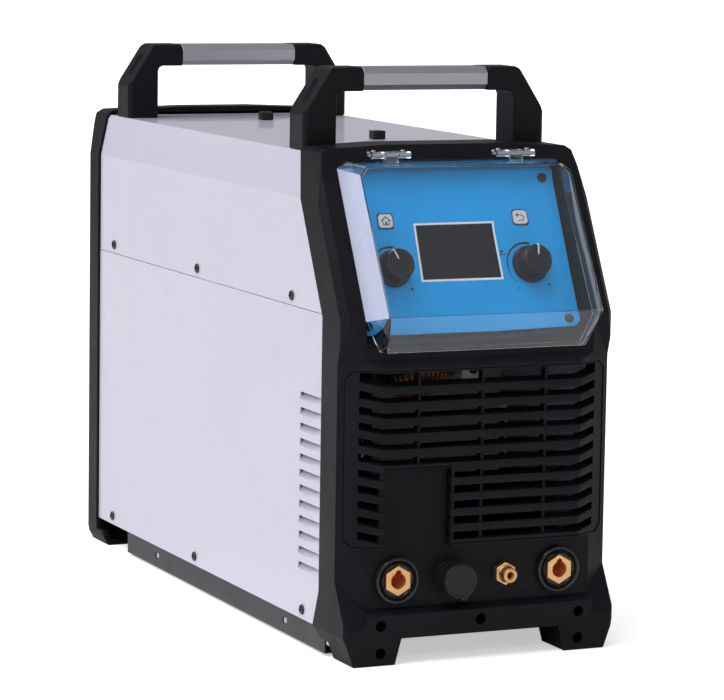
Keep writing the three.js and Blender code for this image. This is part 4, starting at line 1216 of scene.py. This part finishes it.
# Studio
studio = {
    "floorSize": 60.0,
    "floorDrop": 0.0002,
    "floorShade": (0.93, 0.93, 0.935),
    "floorGlow": 0.5,
    "worldStrength": 0.36,
    "worldShade": (0.98, 0.98, 1.0),
    "sunPower": 2.2,
    "sunSpread": 60,
    "sunFrom": (-0.5, 0.05, 1.0),
}


def makeWorld(s):
    scene = bpy.context.scene
    scene.view_settings.view_transform = "Standard"
    world = bpy.data.worlds.new("softbox")
    scene.world = world
    world.use_nodes = True
    tree = world.node_tree
    background = tree.nodes["Background"]
    background.inputs["Color"].default_value = (*s["worldShade"], 1)
    background.inputs["Strength"].default_value = s["worldStrength"]


def makeFloor(s):
    bm = bmesh.new()
    bmesh.ops.create_grid(bm, x_segments=1, y_segments=1, size=s["floorSize"] / 2)
    shiftMesh(bm, 0, 0, -s["floorDrop"])
    mesh = bpy.data.meshes.new("floor")
    bm.to_mesh(mesh)
    bm.free()
    floor = bpy.data.objects.new("floor", mesh)
    bpy.context.scene.collection.objects.link(floor)
    material = bpy.data.materials.new("paleFloor")
    material.use_nodes = True
    floorTree = material.node_tree
    shader = floorTree.nodes["Principled BSDF"]
    place = floorTree.nodes.new("ShaderNodeTexCoord").outputs["Object"]
    shade = s["floorShade"]
    dim = tuple(c * 0.985 for c in shade)
    mixed = mixNode(floorTree, noiseNode(floorTree, place, 1.5, 2.0), (*shade, 1), (*dim, 1))
    floorTree.links.new(mixed, shader.inputs["Base Color"])
    shader.inputs["Roughness"].default_value = 0.9
    shader.inputs["Specular IOR Level"].default_value = 0.0
    shader.inputs["Emission Color"].default_value = (1, 1, 1, 1)
    seen = floorTree.nodes.new("ShaderNodeLightPath").outputs["Is Camera Ray"]
    glow = rangeNode(floorTree, seen, 0, 1, 0.0, s["floorGlow"])
    floorTree.links.new(glow, shader.inputs["Emission Strength"])
    mesh.materials.append(material)


def makeSun(s):
    sun = bpy.data.lights.new("overhead", "SUN")
    sun.energy = s["sunPower"]
    sun.angle = math.radians(s["sunSpread"])
    lamp = bpy.data.objects.new("overhead", sun)
    lamp.rotation_mode = "QUATERNION"
    lamp.rotation_quaternion = Vector(s["sunFrom"]).to_track_quat("Z", "Y")
    bpy.context.scene.collection.objects.link(lamp)


softboxes = {
    "leftSoftbox": {"place": (-2.7, -0.5, 1.7), "target": (0, -0.1, 0.25), "size": (1.3, 1.3), "power": 12},
    "frontSoftbox": {"place": (-0.8, -3.4, 2.2), "target": (0, -0.3, 0.25), "size": (1.0, 0.8), "power": 14},
}


def makeSoftbox(name, s):
    light = bpy.data.lights.new(name, "AREA")
    light.shape = "RECTANGLE"
    light.size, light.size_y = s["size"]
    light.energy = s["power"]
    lamp = bpy.data.objects.new(name, light)
    lamp.location = s["place"]
    lamp.rotation_mode = "QUATERNION"
    lamp.rotation_quaternion = (Vector(s["place"]) - Vector(s["target"])).to_track_quat("Z", "Y")
    bpy.context.scene.collection.objects.link(lamp)


makeWorld(studio)
makeFloor(studio)
makeSun(studio)
for boxName, softbox in softboxes.items():
    makeSoftbox(boxName, softbox)
print("studio ready")
